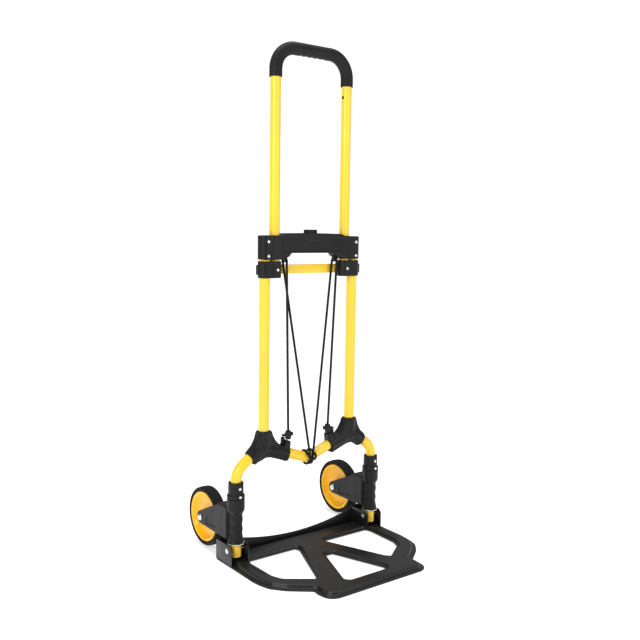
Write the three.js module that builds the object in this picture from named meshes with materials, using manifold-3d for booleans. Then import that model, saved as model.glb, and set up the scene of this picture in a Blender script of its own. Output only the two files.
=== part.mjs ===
// Folding two-wheeled hand truck with a telescoping handle, a toe plate that folds up and
// wheels that swing in flat between the legs. Millimetres, +Z up; the load rests on the -Y side.
import * as THREE from 'three';
import { mergeVertices } from 'three/addons/utils/BufferGeometryUtils.js';
import Module from 'manifold-3d';

const wasm = await Module();
wasm.setup();

// Driving sizes. The tubes stand in the plane y = 0, the floor is z = 0.
const restGap = 0.3;
const slideGap = 0.5;
const tubeSides = 14;
const boreSides = 8;
const frame = { tubeRadius: 11, tubeWall: 1.2, tubeX: 112.3, tubeTop: 660, footGap: 2.7 };
const handle = { tubeRadius: 10.5, tubeWall: 1.2, besideFrame: 1.1, bend: 45, rise: 456.5, stopGap: 7 };
const grip = { wall: 2.5, drop: 60.5, ripple: 1.1, grooveRadius: 5, fingers: 5, fingerPitch: 14 };
const base = { legX: 178, legBottom: 16, peakOffset: 5.7, rise: 46, dip: 44, bend: 40, collarLap: 0.736 };
const socket = { rise: 37, wall: 4.2, legWall: 5.4, webBeyondTube: 2, lugThickness: 6, jointDrop: 0.282 };
const lug = { aboveTube: 6, eyeRadius: 2.1, fromTube: 46.8, eyePitch: 10.5 };
const bridge = {
  below: 43.5, endRise: 4, midRise: 10, beyondTube: 3.5, wall: 2.6, roof: 4, panelInset: 0.9,
  panelMargin: 1.3, rivetRise: 6.7, rivetDrop: 12,
};
const arch = { fromBore: 23.2, cornerFromBore: 16.2, rise: 12.5, cornerRise: 5, wall: 3 };
const latch = {
  drop: 12, pinRadius: 3.4, holeGap: 0.6, flangeRadius: 6, flangeWidth: 2, flangeX: 40, innerX: 13,
  ribX: 23, ribWidth: 2.4, stemDrop: 5,
};
const buttonWire = { radius: 0.5, coilRadius: 3.4, turns: 3 };
const button = { width: 27, depth: 14, proud: 7, capHeight: 11, stemWidth: 12, stemDepth: 8 };
const slideBlock = { height: 33, belowBridge: 4.5, beyondTube: 3.2, floor: 3, lugReach: 4, lugHeight: 20 };
const crossbar = { height: 19, thickness: 3, endBeyondTube: 8, behindTube: 0.7 };
const tab = { fromBore: 14.7, width: 12, thickness: 6, drop: 6.5, eyeRise: 0.5, eyeGap: 0.9 };
const cordRadius = 2.5;
const cordWrapGap = 1.1;
const hook = { fromTube: 60.3, aboveLug: 3, neck: 9, thickness: 9, centreY: -1.5 };
const rivet = { radius: 1.6, headRadius: 3.1, headHeight: 1.3 };
const collar = {
  skirtHeight: 9.3, neckHeight: 24, neckWall: 4.6, skirtWall: 7.2, neckRivet: 12, skirtRivet: 4.5,
};
const washer = { thickness: 2, beyondTube: 6.8 };
const bracket = {
  gap: 1, rise: 69.9, headHeight: 24.4, headWall: 7.2, barrelWall: 3.3, waistWall: 2.2,
  flareWall: 5.2, rootFront: 6, rootBack: 44,
};
const fork = { plate: 3.4, wheelGap: 2.6, rise: 50.5, aboveBarrel: 7, tipRadius: 14, hollowFront: 7 };
const wheel = {
  floorGap: 5, radius: 62.5, width: 26, tyreDepth: 9.5, rootGap: 7, hubRadius: 13, hubProud: 1,
};
const axle = { radius: 4, headRadius: 7, headHeight: 3.6 };
const toe = {
  beyondEar: 0.6, rear: 44, front: -248, flange: 3, deckTop: 9.5, sheet: 2.4, step: 9,
  pocketFloor: 5, pocketMargin: 6, pocketWall: 2,
};
const ear = { besideWasher: 0.6, thickness: 2, front: -18, top: 43, corner: 7 };
const rearWallMid = 16;
const hinge = { z: 30, radius: 3, headRadius: 5.5, headHeight: 1.5 };
const farOff = 2000;
const drillReach = frame.tubeRadius + 15;

// Bridge, slide blocks and handle hang from the top of the frame tubes
const handleX = frame.tubeX - frame.tubeRadius - handle.tubeRadius - handle.besideFrame;
const boreInnerX = handleX - handle.tubeRadius;
const bridgeHalf = frame.tubeRadius + bridge.beyondTube;
const bridgeEndX = frame.tubeX + bridgeHalf;
const bridgeBottom = frame.tubeTop - bridge.below;
const bridgeEndTop = frame.tubeTop + bridge.endRise;
const bridgeMidTop = frame.tubeTop + bridge.midRise;
const archTop = bridgeBottom + arch.rise;
const archHalf = boreInnerX - arch.fromBore;
const pinZ = frame.tubeTop - latch.drop;
const buttonTop = bridgeMidTop + button.proud;
const tabX = boreInnerX - tab.fromBore;
const eyeZ = bridgeBottom + tab.eyeRise;
const blockTop = bridgeBottom - slideBlock.belowBridge;
const blockBottom = blockTop - slideBlock.height;
const blockRadius = frame.tubeRadius + slideBlock.beyondTube;
const barZ = (blockBottom + blockTop) / 2;
const handleTopZ = blockBottom + handle.rise;
const gripRadius = handle.tubeRadius + grip.wall;

// Washer, bracket, collar and the bends of the base tube stand on the ears of the toe plate
const washerRadius = frame.tubeRadius + washer.beyondTube;
const earOffset = washerRadius + ear.besideWasher;
const plateHalf = base.legX + earOffset + ear.thickness + toe.beyondEar;
const axleZ = wheel.radius + wheel.floorGap;
const axleY = bracket.rootBack + wheel.rootGap + wheel.radius;
const rimRadius = wheel.radius - wheel.tyreDepth;
const forkHalf = wheel.width / 2 + fork.wheelGap + fork.plate;
const forkTop = axleZ + fork.rise;
const bracketBottom = ear.top + washer.thickness + bracket.gap;
const forkBottom = bracketBottom + fork.aboveBarrel;
const bracketTop = axleZ + bracket.rise;
const collarBottom = bracketTop + restGap;
const collarWaist = collarBottom + collar.skirtHeight;
const collarTop = collarWaist + collar.neckHeight;
const neckRadius = frame.tubeRadius + collar.neckWall;
const skirtRadius = frame.tubeRadius + collar.skirtWall;
const peakX = frame.tubeX + base.peakOffset;
const legLean = Math.atan2(base.legX - peakX, base.rise);
const valleySlope = Math.atan2(base.dip, peakX);
const peakBend = Math.PI / 2 - legLean + valleySlope;
const bendSag = (bend) => base.bend * (1 / Math.cos(bend / 2) - 1);
const shoulderZ = collarTop + base.bend * Math.tan(legLean / 2) - base.collarLap;
const peakZ = shoulderZ + base.rise;
const crestZ = peakZ - bendSag(peakBend);
const centreZ = peakZ - base.dip;
const valleyZ = centreZ + bendSag(2 * valleySlope);
const jointZ = crestZ - socket.jointDrop;
const lugTop = jointZ + frame.tubeRadius + lug.aboveTube;
const socketTop = jointZ + socket.rise;
const tubeBottomInSocket = crestZ + frame.tubeRadius + frame.footGap;
const socketRadius = frame.tubeRadius + socket.wall;
const wheelBack = axleY + wheel.radius;

// The handle slides down until its blocks stop short of the sockets, in whole tenths
const travel = Math.round((blockBottom - socketTop - handle.stopGap) * 10) / 10;
const lockHoleZ = pinZ + travel;

// Solids ---------------------------------------------------------------------------------
function solid(geometry) {
  const bare = geometry.clone();
  for (const name of Object.keys(bare.attributes)) {
    if (name !== 'position') bare.deleteAttribute(name);
  }
  const merged = mergeVertices(bare, 1e-4);
  return new wasm.Manifold(new wasm.Mesh({
    numProp: 3,
    vertProperties: new Float32Array(merged.attributes.position.array),
    triVerts: new Uint32Array(merged.index.array),
  }));
}

const join = (first, ...others) => others.reduce((whole, next) => whole.add(next), first);
const cut = (first, ...others) => others.reduce((whole, next) => whole.subtract(next), first);

function block(x0, x1, y0, y1, z0, z1) {
  const geometry = new THREE.BoxGeometry(x1 - x0, y1 - y0, z1 - z0);
  return solid(geometry.translate((x0 + x1) / 2, (y0 + y1) / 2, (z0 + z1) / 2));
}

// A rod between two points on a line parallel to an axis
function rod(axis, radius, from, to, centre, sides = tubeSides) {
  const geometry = new THREE.CylinderGeometry(radius, radius, to - from, sides);
  const middle = (from + to) / 2;
  if (axis === 'x') geometry.rotateZ(-Math.PI / 2).translate(middle, centre[0], centre[1]);
  if (axis === 'y') geometry.translate(centre[0], middle, 0).translate(0, 0, centre[1]);
  if (axis === 'z') geometry.rotateX(Math.PI / 2).translate(centre[0], centre[1], middle);
  return solid(geometry);
}

// A solid of revolution: profile points are [radius, position along the axis]
function turned(profile, sides) {
  const points = profile.map(([radius, along]) => new THREE.Vector2(radius, along));
  return new THREE.LatheGeometry([...points, points[0]], sides).rotateX(Math.PI / 2);
}

function shapeOf(points) {
  return new THREE.Shape(points.map(([x, y]) => new THREE.Vector2(x, y)));
}

// An outline in plan, raised from z0 to z1
function raised(shape, z0, z1, curveSegments = 6) {
  const options = { depth: z1 - z0, bevelEnabled: false, curveSegments };
  return solid(new THREE.ExtrudeGeometry(shape, options).translate(0, 0, z0));
}

// An outline seen from the front, of a given depth about the plane y = centreY
function fronted(shape, depth, centreY = 0, curveSegments = 6) {
  const geometry = new THREE.ExtrudeGeometry(shape, { depth, bevelEnabled: false, curveSegments });
  return solid(geometry.rotateX(Math.PI / 2).translate(0, centreY + depth / 2, 0));
}

// Parallel offset of a closed outline, outward when the distance is positive
function offsetOutline(points, distance) {
  const area = THREE.ShapeUtils.area(points.map(([x, y]) => new THREE.Vector2(x, y)));
  const turn = Math.sign(area) * distance;
  return points.map((point, index) => {
    const before = points[(index + points.length - 1) % points.length];
    const after = points[(index + 1) % points.length];
    const arrive = new THREE.Vector2(point[0] - before[0], point[1] - before[1]).normalize();
    const leave = new THREE.Vector2(after[0] - point[0], after[1] - point[1]).normalize();
    const normal = new THREE.Vector2(arrive.y + leave.y, -arrive.x - leave.x).normalize();
    const reach = turn / (normal.x * arrive.y - normal.y * arrive.x);
    return [point[0] + normal.x * reach, point[1] + normal.y * reach];
  });
}

// A path of straight runs with round bends: one step per run, a few per bend
class BentPath extends THREE.Curve {
  constructor(corners, radius, stepsPerBend = 6) {
    super();
    this.knots = [];
    this.tangents = [];
    const points = corners.map(([x, y, z]) => new THREE.Vector3(x, y, z));
    points.forEach((corner, index) => this.addCorner(points, corner, index, radius, stepsPerBend));
    this.steps = this.knots.length - 1;
  }

  addCorner(points, corner, index, radius, stepsPerBend) {
    const last = points.length - 1;
    const arrive = corner.clone().sub(points[Math.max(index - 1, 0)]).normalize();
    const leave = points[Math.min(index + 1, last)].clone().sub(corner).normalize();
    if (index === 0 || index === last) {
      this.knots.push(corner);
      this.tangents.push(index === 0 ? leave : arrive);
      return;
    }
    const bend = arrive.angleTo(leave);
    const reach = radius * Math.tan(bend / 2);
    const inward = leave.clone().sub(arrive).normalize();
    const centre = corner.clone().addScaledVector(inward, radius / Math.cos(bend / 2));
    const start = corner.clone().addScaledVector(arrive, -reach).sub(centre);
    for (let step = 0; step <= stepsPerBend; step += 1) {
      const angle = (bend * step) / stepsPerBend;
      const spoke = start.clone().multiplyScalar(Math.cos(angle));
      spoke.addScaledVector(arrive, radius * Math.sin(angle));
      this.knots.push(centre.clone().add(spoke));
      const tangent = arrive.clone().multiplyScalar(Math.cos(angle));
      tangent.addScaledVector(start, -Math.sin(angle) / radius);
      this.tangents.push(tangent.normalize());
    }
  }

  getPoint(t) {
    const index = Math.min(Math.round(t * this.steps), this.steps);
    return this.knots[index].clone();
  }

  getPointAt(t) {
    return this.getPoint(t);
  }

  getTangentAt(t) {
    return this.tangents[Math.min(Math.round(t * this.steps), this.steps)].clone();
  }
}

function swept(path, radius, innerRadius = 0, sides = tubeSides, innerSides = boreSides) {
  const ring = (size, count) => Array.from({ length: count }, (_, index) => {
    const angle = (2 * Math.PI * index) / count;
    return new THREE.Vector2(size * Math.cos(angle), size * Math.sin(angle));
  });
  const section = new THREE.Shape(ring(radius, sides));
  if (innerRadius > 0) section.holes.push(new THREE.Path(ring(innerRadius, innerSides).reverse()));
  return solid(new THREE.ExtrudeGeometry(section, { steps: path.steps, extrudePath: path }));
}

function straightTube(radius, wall, x, z0, z1) {
  return swept(new BentPath([[x, 0, z0], [x, 0, z1]], 1), radius, radius - wall);
}

// Assembly -------------------------------------------------------------------------------
const finishes = {
  yellowPaint: { color: 0xf2c320, roughness: 0.35, metalness: 0.1 },
  blackPlastic: { color: 0x2b2b2e, roughness: 0.55, metalness: 0 },
  blackSteel: { color: 0x26272a, roughness: 0.5, metalness: 0.3 },
  blackFoam: { color: 0x1b1b1c, roughness: 0.9, metalness: 0 },
  blackRubber: { color: 0x202022, roughness: 0.8, metalness: 0 },
  orangePlastic: { color: 0xf0a010, roughness: 0.45, metalness: 0 },
  brightSteel: { color: 0xb9bcc0, roughness: 0.3, metalness: 1 },
};
const truck = new THREE.Group();

function place(name, manifold, finish) {
  const { vertProperties, triVerts, numProp } = manifold.getMesh();
  const geometry = new THREE.BufferGeometry();
  const positions = new Float32Array((vertProperties.length / numProp) * 3);
  for (let index = 0; index < positions.length; index += 1) {
    positions[index] = vertProperties[Math.floor(index / 3) * numProp + (index % 3)];
  }
  geometry.setAttribute('position', new THREE.BufferAttribute(positions, 3));
  geometry.setIndex(new THREE.BufferAttribute(new Uint32Array(triVerts), 1));
  geometry.computeVertexNormals();
  const mesh = new THREE.Mesh(geometry, new THREE.MeshStandardMaterial(finishes[finish]));
  mesh.name = name;
  truck.add(mesh);
}

const sides = [{ name: 'left', sign: -1 }, { name: 'right', sign: 1 }];
const mirrored = (points, sign) => points.map(([x, ...rest]) => [x * sign, ...rest]);

function placeRivet(name, x, z, front, back) {
  const shank = rod('y', rivet.radius, front, back, [x, z], 8);
  const domeFront = rod('y', rivet.headRadius, front - rivet.headHeight, front, [x, z], 10);
  const domeBack = rod('y', rivet.headRadius, back, back + rivet.headHeight, [x, z], 10);
  place(name, join(shank, domeFront, domeBack), 'brightSteel');
}

const rivetHole = (x, z) => rod('y', rivet.radius + restGap, -drillReach, drillReach, [x, z], 8);

// Welded base: one bent tube, legs down to the toe plate and a shallow V between them ------
const baseCorners = [
  [-base.legX, 0, base.legBottom],
  [-base.legX, 0, shoulderZ],
  [-peakX, 0, peakZ],
  [0, 0, centreZ],
  [peakX, 0, peakZ],
  [base.legX, 0, shoulderZ],
  [base.legX, 0, base.legBottom],
];
const basePath = new BentPath(baseCorners, base.bend, 4);
const hollowRadius = frame.tubeRadius - frame.tubeWall;
const collarRivetZ = [collarTop - collar.neckRivet, collarWaist - collar.skirtRivet];

function makeBaseTube() {
  const pinHole = hinge.radius + slideGap;
  const drills = sides.flatMap(({ sign }) => [
    rod('x', pinHole, sign * base.legX - drillReach, sign * base.legX + drillReach, [0, hinge.z], 12),
    ...collarRivetZ.map((z) => rivetHole(sign * base.legX, z)),
  ]);
  place('base_tube', cut(swept(basePath, frame.tubeRadius, hollowRadius), ...drills), 'yellowPaint');
}

const bridgeRivetZ = [bridgeBottom + bridge.rivetRise, bridgeEndTop - bridge.rivetDrop];

function makeFrameTubes() {
  for (const { name, sign } of sides) {
    const x = sign * frame.tubeX;
    const tube = straightTube(frame.tubeRadius, frame.tubeWall, x, tubeBottomInSocket, frame.tubeTop);
    const drills = bridgeRivetZ.map((z) => rivetHole(x, z));
    place(`frame_tube_${name}`, cut(tube, ...drills), 'yellowPaint');
  }
}

// Moulded sockets that join each frame tube to the base tube ------------------------------
function sleeveAlong(start, end, radius) {
  return swept(new BentPath([start, end], 1), radius);
}

function makeSockets() {
  const tube = frame.tubeRadius;
  const outline = [
    [-15, 36], [14, 36], [18.5, 20], [26, 7], [40, -6], [31, -28],
    [12, -24], [0, -19], [-12, -20], [-32, -27], [-52, -35], [-58, -31],
    [-63, tube - 3], [-51, tube - 1], [-47, tube - 12], [-36, tube - 8], [-25, 14], [-18, 26],
  ];
  const lugOutline = [[-51, lugTop - jointZ], [-44, lugTop - jointZ], [-43, -4], [-51, -4]];
  const eyeHeights = [frame.tubeRadius - lug.eyePitch, frame.tubeRadius];
  const bore = swept(basePath, frame.tubeRadius + restGap);
  for (const { name, sign } of sides) {
    const outlineAt = (points) => points.map(([dx, dz]) => [sign * (frame.tubeX + dx), jointZ + dz]);
    const web = fronted(shapeOf(outlineAt(outline)), 2 * (frame.tubeRadius + socket.webBeyondTube));
    const eye = fronted(shapeOf(outlineAt(lugOutline)), socket.lugThickness);
    const peak = [sign * peakX, 0, jointZ];
    const toLeg = new THREE.Vector3(base.legX - peakX, 0, -base.rise).normalize();
    const outer = [peak[0] + sign * toLeg.x * 34, 0, peakZ + toLeg.z * 34 - 3];
    const innerX = frame.tubeX - 57;
    const inner = [sign * innerX, 0, peakZ - (peakX - innerX) * Math.tan(valleySlope) - 2.1];
    const upright = rod('z', socketRadius, jointZ - 10, socketTop, [sign * frame.tubeX, 0]);
    const body = join(
      web, eye, upright,
      sleeveAlong(peak, outer, frame.tubeRadius + socket.legWall),
      sleeveAlong([sign * (frame.tubeX - 4), 0, jointZ - 2], inner, socketRadius),
    );
    const tubeSeat = rod('z', frame.tubeRadius + restGap, tubeBottomInSocket - restGap, socketTop + 1,
      [sign * frame.tubeX, 0]);
    const eyeX = sign * (frame.tubeX - lug.fromTube);
    const eyes = eyeHeights.map((dz) => rod('y', lug.eyeRadius, -9, 9, [eyeX, jointZ + dz], 10));
    place(`y_socket_${name}`, cut(body, bore, tubeSeat, ...eyes), 'blackPlastic');
  }
}

// Bridge: two riveted half shells that hold the frame tubes and guide the handle tubes -----
function bridgeBody() {
  const cornerX = boreInnerX - arch.cornerFromBore;
  const cornerZ = bridgeBottom + arch.cornerRise;
  const edge = [
    [-bridgeEndX, bridgeBottom], [-tabX - 14, bridgeBottom], [-cornerX, cornerZ],
    [-archHalf, archTop], [archHalf, archTop], [cornerX, cornerZ],
    [tabX + 14, bridgeBottom], [bridgeEndX, bridgeBottom], [bridgeEndX, bridgeEndTop],
    [boreInnerX + 2.8, bridgeEndTop + 1], [boreInnerX - 9.2, bridgeMidTop - 1], [0, bridgeMidTop],
    [9.2 - boreInnerX, bridgeMidTop - 1], [-boreInnerX - 2.8, bridgeEndTop + 1], [-bridgeEndX, bridgeEndTop],
  ];
  const front = fronted(shapeOf(edge), 2 * bridgeHalf);
  const panelFace = bridge.panelInset - bridgeHalf;
  const panelHalf = boreInnerX + bridge.panelMargin;
  const panel = block(-panelHalf, panelHalf, -bridgeHalf - 1, panelFace, 0, farOff);
  return cut(front.intersect(raised(stadium(frame.tubeX, bridgeHalf), 0, farOff)), panel);
}

// Plan outline with round ends about x = -reach and x = +reach
function stadium(reach, radius) {
  const shape = new THREE.Shape();
  shape.absarc(reach, 0, radius, -Math.PI / 2, Math.PI / 2, false);
  shape.absarc(-reach, 0, radius, Math.PI / 2, (3 * Math.PI) / 2, false);
  return shape;
}

// The figure-eight bore that a frame tube and its neighbouring handle tube share
function pairedBore(sign, frameTop, bottom, top, frameClearance, handleClearance) {
  const xs = [sign * handleX, sign * frame.tubeX].sort((a, b) => a - b);
  return join(
    rod('z', frame.tubeRadius + frameClearance, bottom, frameTop, [sign * frame.tubeX, 0]),
    rod('z', handle.tubeRadius + handleClearance, bottom, top, [sign * handleX, 0]),
    block(xs[0], xs[1], -4, 4, bottom, frameTop),
  );
}

const latchTip = boreInnerX - slideGap;

function makeBridge() {
  const cavityHalf = boreInnerX - 5;
  const inside = bridgeHalf - bridge.wall;
  const cavity = cut(
    block(-cavityHalf, cavityHalf, -inside, inside, archTop + arch.wall, bridgeMidTop - bridge.roof),
    ...sides.map(({ sign }) => block(sign * latch.ribX - latch.ribWidth / 2,
      sign * latch.ribX + latch.ribWidth / 2, -bridgeHalf, bridgeHalf, bridgeBottom, bridgeMidTop)),
  );
  const rodHole = rod('x', latch.pinRadius + slideGap, -handleX, handleX, [0, pinZ], 12);
  const slot = button.width / 2 + slideGap;
  const slotDepth = button.depth / 2 + slideGap;
  const slotTop = bridgeMidTop + 30;
  const buttonSlot = block(-slot, slot, -slotDepth, slotDepth, bridgeMidTop - 10, slotTop);
  const holes = sides.flatMap(({ sign }) => [
    pairedBore(sign, frame.tubeTop + restGap, bridgeBottom - 1, slotTop, restGap, slideGap),
    ...bridgeRivetZ.map((z) => rivetHole(sign * frame.tubeX, z)),
  ]);
  const ears = sides.map(({ sign }) => block(
    sign * tabX - tab.width / 2, sign * tabX + tab.width / 2,
    -tab.thickness / 2, tab.thickness / 2, bridgeBottom - tab.drop, archTop + 1));
  const eyes = sides.map(({ sign }) => rod('y', cordRadius + tab.eyeGap, -9, 9, [sign * tabX, eyeZ], 12));
  const whole = cut(join(bridgeBody(), ...ears), cavity, rodHole, buttonSlot, ...holes, ...eyes);
  const seam = restGap / 2;
  const frontHalf = block(-farOff, farOff, -farOff, -seam, 0, farOff);
  const rearHalf = block(-farOff, farOff, seam, farOff, 0, farOff);
  place('bridge_front_shell', whole.intersect(frontHalf), 'blackPlastic');
  place('bridge_rear_shell', whole.intersect(rearHalf), 'blackPlastic');
  for (const { name, sign } of sides) {
    bridgeRivetZ.forEach((z, index) => {
      const level = ['lower', 'upper'][index];
      const reach = bridgeHalf + 0.1;
      placeRivet(`bridge_rivet_${level}_${name}`, sign * frame.tubeX, z, -reach, reach);
    });
  }
}

// Latch: the button's stem draws two sprung pins out of the handle tubes ------------------
function makeLatch() {
  const half = button.width / 2;
  const stemFoot = pinZ - latch.stemDrop;
  const cap = block(-half, half, -button.depth / 2, button.depth / 2,
    buttonTop - button.capHeight, buttonTop);
  const stem = block(-button.stemWidth / 2, button.stemWidth / 2, -button.stemDepth / 2,
    button.stemDepth / 2, stemFoot, buttonTop - button.capHeight + 1);
  place('release_button', join(cap, stem), 'blackPlastic');
  for (const { name, sign } of sides) {
    const span = [sign * latch.innerX, sign * latchTip].sort((a, b) => a - b);
    const flangeX = sign * latch.flangeX;
    const flange = rod('x', latch.flangeRadius, flangeX - latch.flangeWidth / 2,
      flangeX + latch.flangeWidth / 2, [0, pinZ], 14);
    const pin = rod('x', latch.pinRadius, span[0], span[1], [0, pinZ], 12);
    place(`latch_pin_${name}`, join(pin, flange), 'brightSteel');
  }
  const clear = restGap + buttonWire.radius;
  place('button_spring', spring(archTop + arch.wall + clear, stemFoot - clear), 'brightSteel');
}

// An upright helical wire between two heights
function spring(from, to) {
  const radius = buttonWire.coilRadius;
  const perTurn = 8;
  const count = buttonWire.turns * perTurn;
  const knots = Array.from({ length: count + 1 }, (_, index) => {
    const angle = (2 * Math.PI * index) / perTurn;
    const height = from + ((to - from) * index) / count;
    return new THREE.Vector3(radius * Math.cos(angle), radius * Math.sin(angle), height);
  });
  const path = new THREE.CatmullRomCurve3(knots);
  path.steps = count;
  return swept(path, buttonWire.radius, 0, 5);
}

// Handle: U tube, foam grip, slide blocks and the flat bar between them -------------------
const handleCorners = [
  [-handleX, 0, blockBottom + slideBlock.floor],
  [-handleX, 0, handleTopZ],
  [handleX, 0, handleTopZ],
  [handleX, 0, blockBottom + slideBlock.floor],
];
const barFront = handle.tubeRadius + crossbar.behindTube;
const barY = [barFront, barFront + crossbar.thickness];

function makeHandle() {
  const tube = swept(new BentPath(handleCorners, handle.bend, 6), handle.tubeRadius,
    handle.tubeRadius - handle.tubeWall);
  const drills = sides.flatMap(({ sign }) => [
    rivetHole(sign * handleX, barZ),
    ...[lockHoleZ, pinZ].map((z) => rod('x', latch.pinRadius + latch.holeGap,
      sign * (boreInnerX - 3), sign * (boreInnerX + 6), [0, z], 12)),
  ]);
  place('handle_tube', cut(tube, ...drills), 'yellowPaint');

  const foam = swept(new BentPath([
    [-handleX, 0, handleTopZ - grip.drop], [-handleX, 0, handleTopZ], [handleX, 0, handleTopZ],
    [handleX, 0, handleTopZ - grip.drop],
  ], handle.bend, 6), gripRadius, handle.tubeRadius + restGap, tubeSides, tubeSides);
  const grooveZ = handleTopZ - gripRadius - grip.grooveRadius + grip.ripple;
  const grooves = Array.from({ length: grip.fingers }, (_, index) => {
    const x = (index - (grip.fingers - 1) / 2) * grip.fingerPitch;
    return rod('y', grip.grooveRadius, -20, 20, [x, grooveZ], 16);
  });
  place('handle_grip', cut(foam, ...grooves), 'blackFoam');
}

function makeSlideBlocks() {
  const bottom = blockBottom;
  const top = blockTop;
  const floor = bottom + slideBlock.floor;
  const barEnd = handleX + crossbar.endBeyondTube;
  const barLow = barZ - crossbar.height / 2;
  const barHigh = barZ + crossbar.height / 2;
  const slot = block(-barEnd - restGap, barEnd + restGap, barY[0] - restGap, barY[1] + restGap,
    barLow - restGap, barHigh + restGap);
  for (const { name, sign } of sides) {
    const plan = new THREE.Shape();
    const xs = [sign * handleX, sign * frame.tubeX].sort((a, b) => a - b);
    plan.absarc(xs[1], 0, blockRadius, -Math.PI / 2, Math.PI / 2, false);
    plan.absarc(xs[0], 0, blockRadius, Math.PI / 2, (3 * Math.PI) / 2, false);
    const lugX = [sign * frame.tubeX, sign * (frame.tubeX + blockRadius + slideBlock.lugReach)];
    lugX.sort((a, b) => a - b);
    const lug = block(lugX[0], lugX[1], -6, 6, barZ - slideBlock.lugHeight / 2,
      barZ + slideBlock.lugHeight / 2);
    const bore = join(
      rod('z', frame.tubeRadius + slideGap, bottom - 1, top + 1, [sign * frame.tubeX, 0]),
      rod('z', handle.tubeRadius + restGap, floor - restGap, top + 1, [sign * handleX, 0]),
      block(xs[0], xs[1], -4, 4, floor, top + 1),
    );
    const body = join(raised(plan, bottom, top), lug);
    place(`slide_block_${name}`, cut(body, bore, slot, rivetHole(sign * handleX, barZ)),
      'blackPlastic');
    placeRivet(`slide_block_rivet_${name}`, sign * handleX, barZ,
      -blockRadius - 0.1, Math.max(blockRadius, barY[1]) + 0.1);
  }
  const bar = block(-barEnd, barEnd, barY[0], barY[1], barLow, barHigh);
  const drills = sides.map(({ sign }) => rivetHole(sign * handleX, barZ));
  place('handle_crossbar', cut(bar, ...drills), 'yellowPaint');
}

// Elastic cord: from a hook up through an eye, down to a cow hitch on the base tube and back --
const hookX = frame.tubeX - hook.fromTube;
const hookZ = lugTop + hook.aboveLug;
const cordHookTop = [hookX, hook.centreY, hookZ + hook.neck + restGap];
const cordTurnSteps = 8;

function makeCord() {
  const reach = (frame.tubeRadius + cordRadius + cordWrapGap) / Math.cos(Math.PI / cordTurnSteps);
  const middle = valleyZ;
  const pitch = 2 * cordRadius + cordWrapGap;
  const turn = Array.from({ length: cordTurnSteps }, (_, step) => {
    const angle = (2 * Math.PI * step) / cordTurnSteps;
    const across = pitch * (0.5 + step / cordTurnSteps);
    return [across, -reach * Math.cos(angle), middle - reach * Math.sin(angle)];
  });
  const half = [
    cordHookTop, [tabX, -8, eyeZ], [tabX, 8, eyeZ], ...turn,
    [1.5 * pitch, -reach - 0.4 * pitch, middle + 6], [0.9 * pitch, -reach - pitch, middle - 1],
  ];
  const route = [...mirrored(half, -1), ...half.reverse()];
  place('elastic_cord', swept(new BentPath(route, 4, 2), cordRadius, 0, 8), 'blackRubber');
}

function makeHooks() {
  for (const { name, sign } of sides) {
    const at = (dx, dz) => [sign * (hookX + dx), hookZ + dz];
    const outline = [
      [-4, hook.neck], [4, hook.neck], [6, 3], [15, 1.5], [15, -1.5], [6, -2], [5, -9.6],
      [-4, -10.2], [-6, -2], [-10, -3], [-11, 4], [-8, 6], [-6, 2],
    ];
    const plate = fronted(shapeOf(outline.map(([dx, dz]) => at(dx, dz))), hook.thickness, hook.centreY);
    place(`cord_hook_${name}`, plate, 'blackPlastic');
  }
}

// Wheel brackets: a fixed collar, a barrel that turns on the leg, a fork and the axle -------
function makeCollars() {
  for (const { name, sign } of sides) {
    const bore = frame.tubeRadius + restGap;
    const profile = [
      [bore, collarBottom], [skirtRadius, collarBottom], [skirtRadius, collarWaist - 2],
      [neckRadius, collarWaist], [neckRadius, collarTop], [bore, collarTop],
    ];
    const x = sign * base.legX;
    const body = solid(turned(profile, 16)).translate([x, 0, 0]);
    place(`leg_collar_${name}`, cut(body, ...collarRivetZ.map((z) => rivetHole(x, z))), 'blackPlastic');
    const reaches = [neckRadius, skirtRadius];
    collarRivetZ.forEach((z, index) => {
      const level = ['upper', 'lower'][index];
      placeRivet(`collar_rivet_${level}_${name}`, x, z, -reaches[index] - 0.1, reaches[index] + 0.1);
    });
    const ring = [
      [bore, ear.top], [washerRadius, ear.top],
      [washerRadius, ear.top + washer.thickness], [bore, ear.top + washer.thickness],
    ];
    place(`thrust_washer_${name}`, solid(turned(ring, 20)).translate([x, 0, 0]), 'brightSteel');
  }
}

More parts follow.
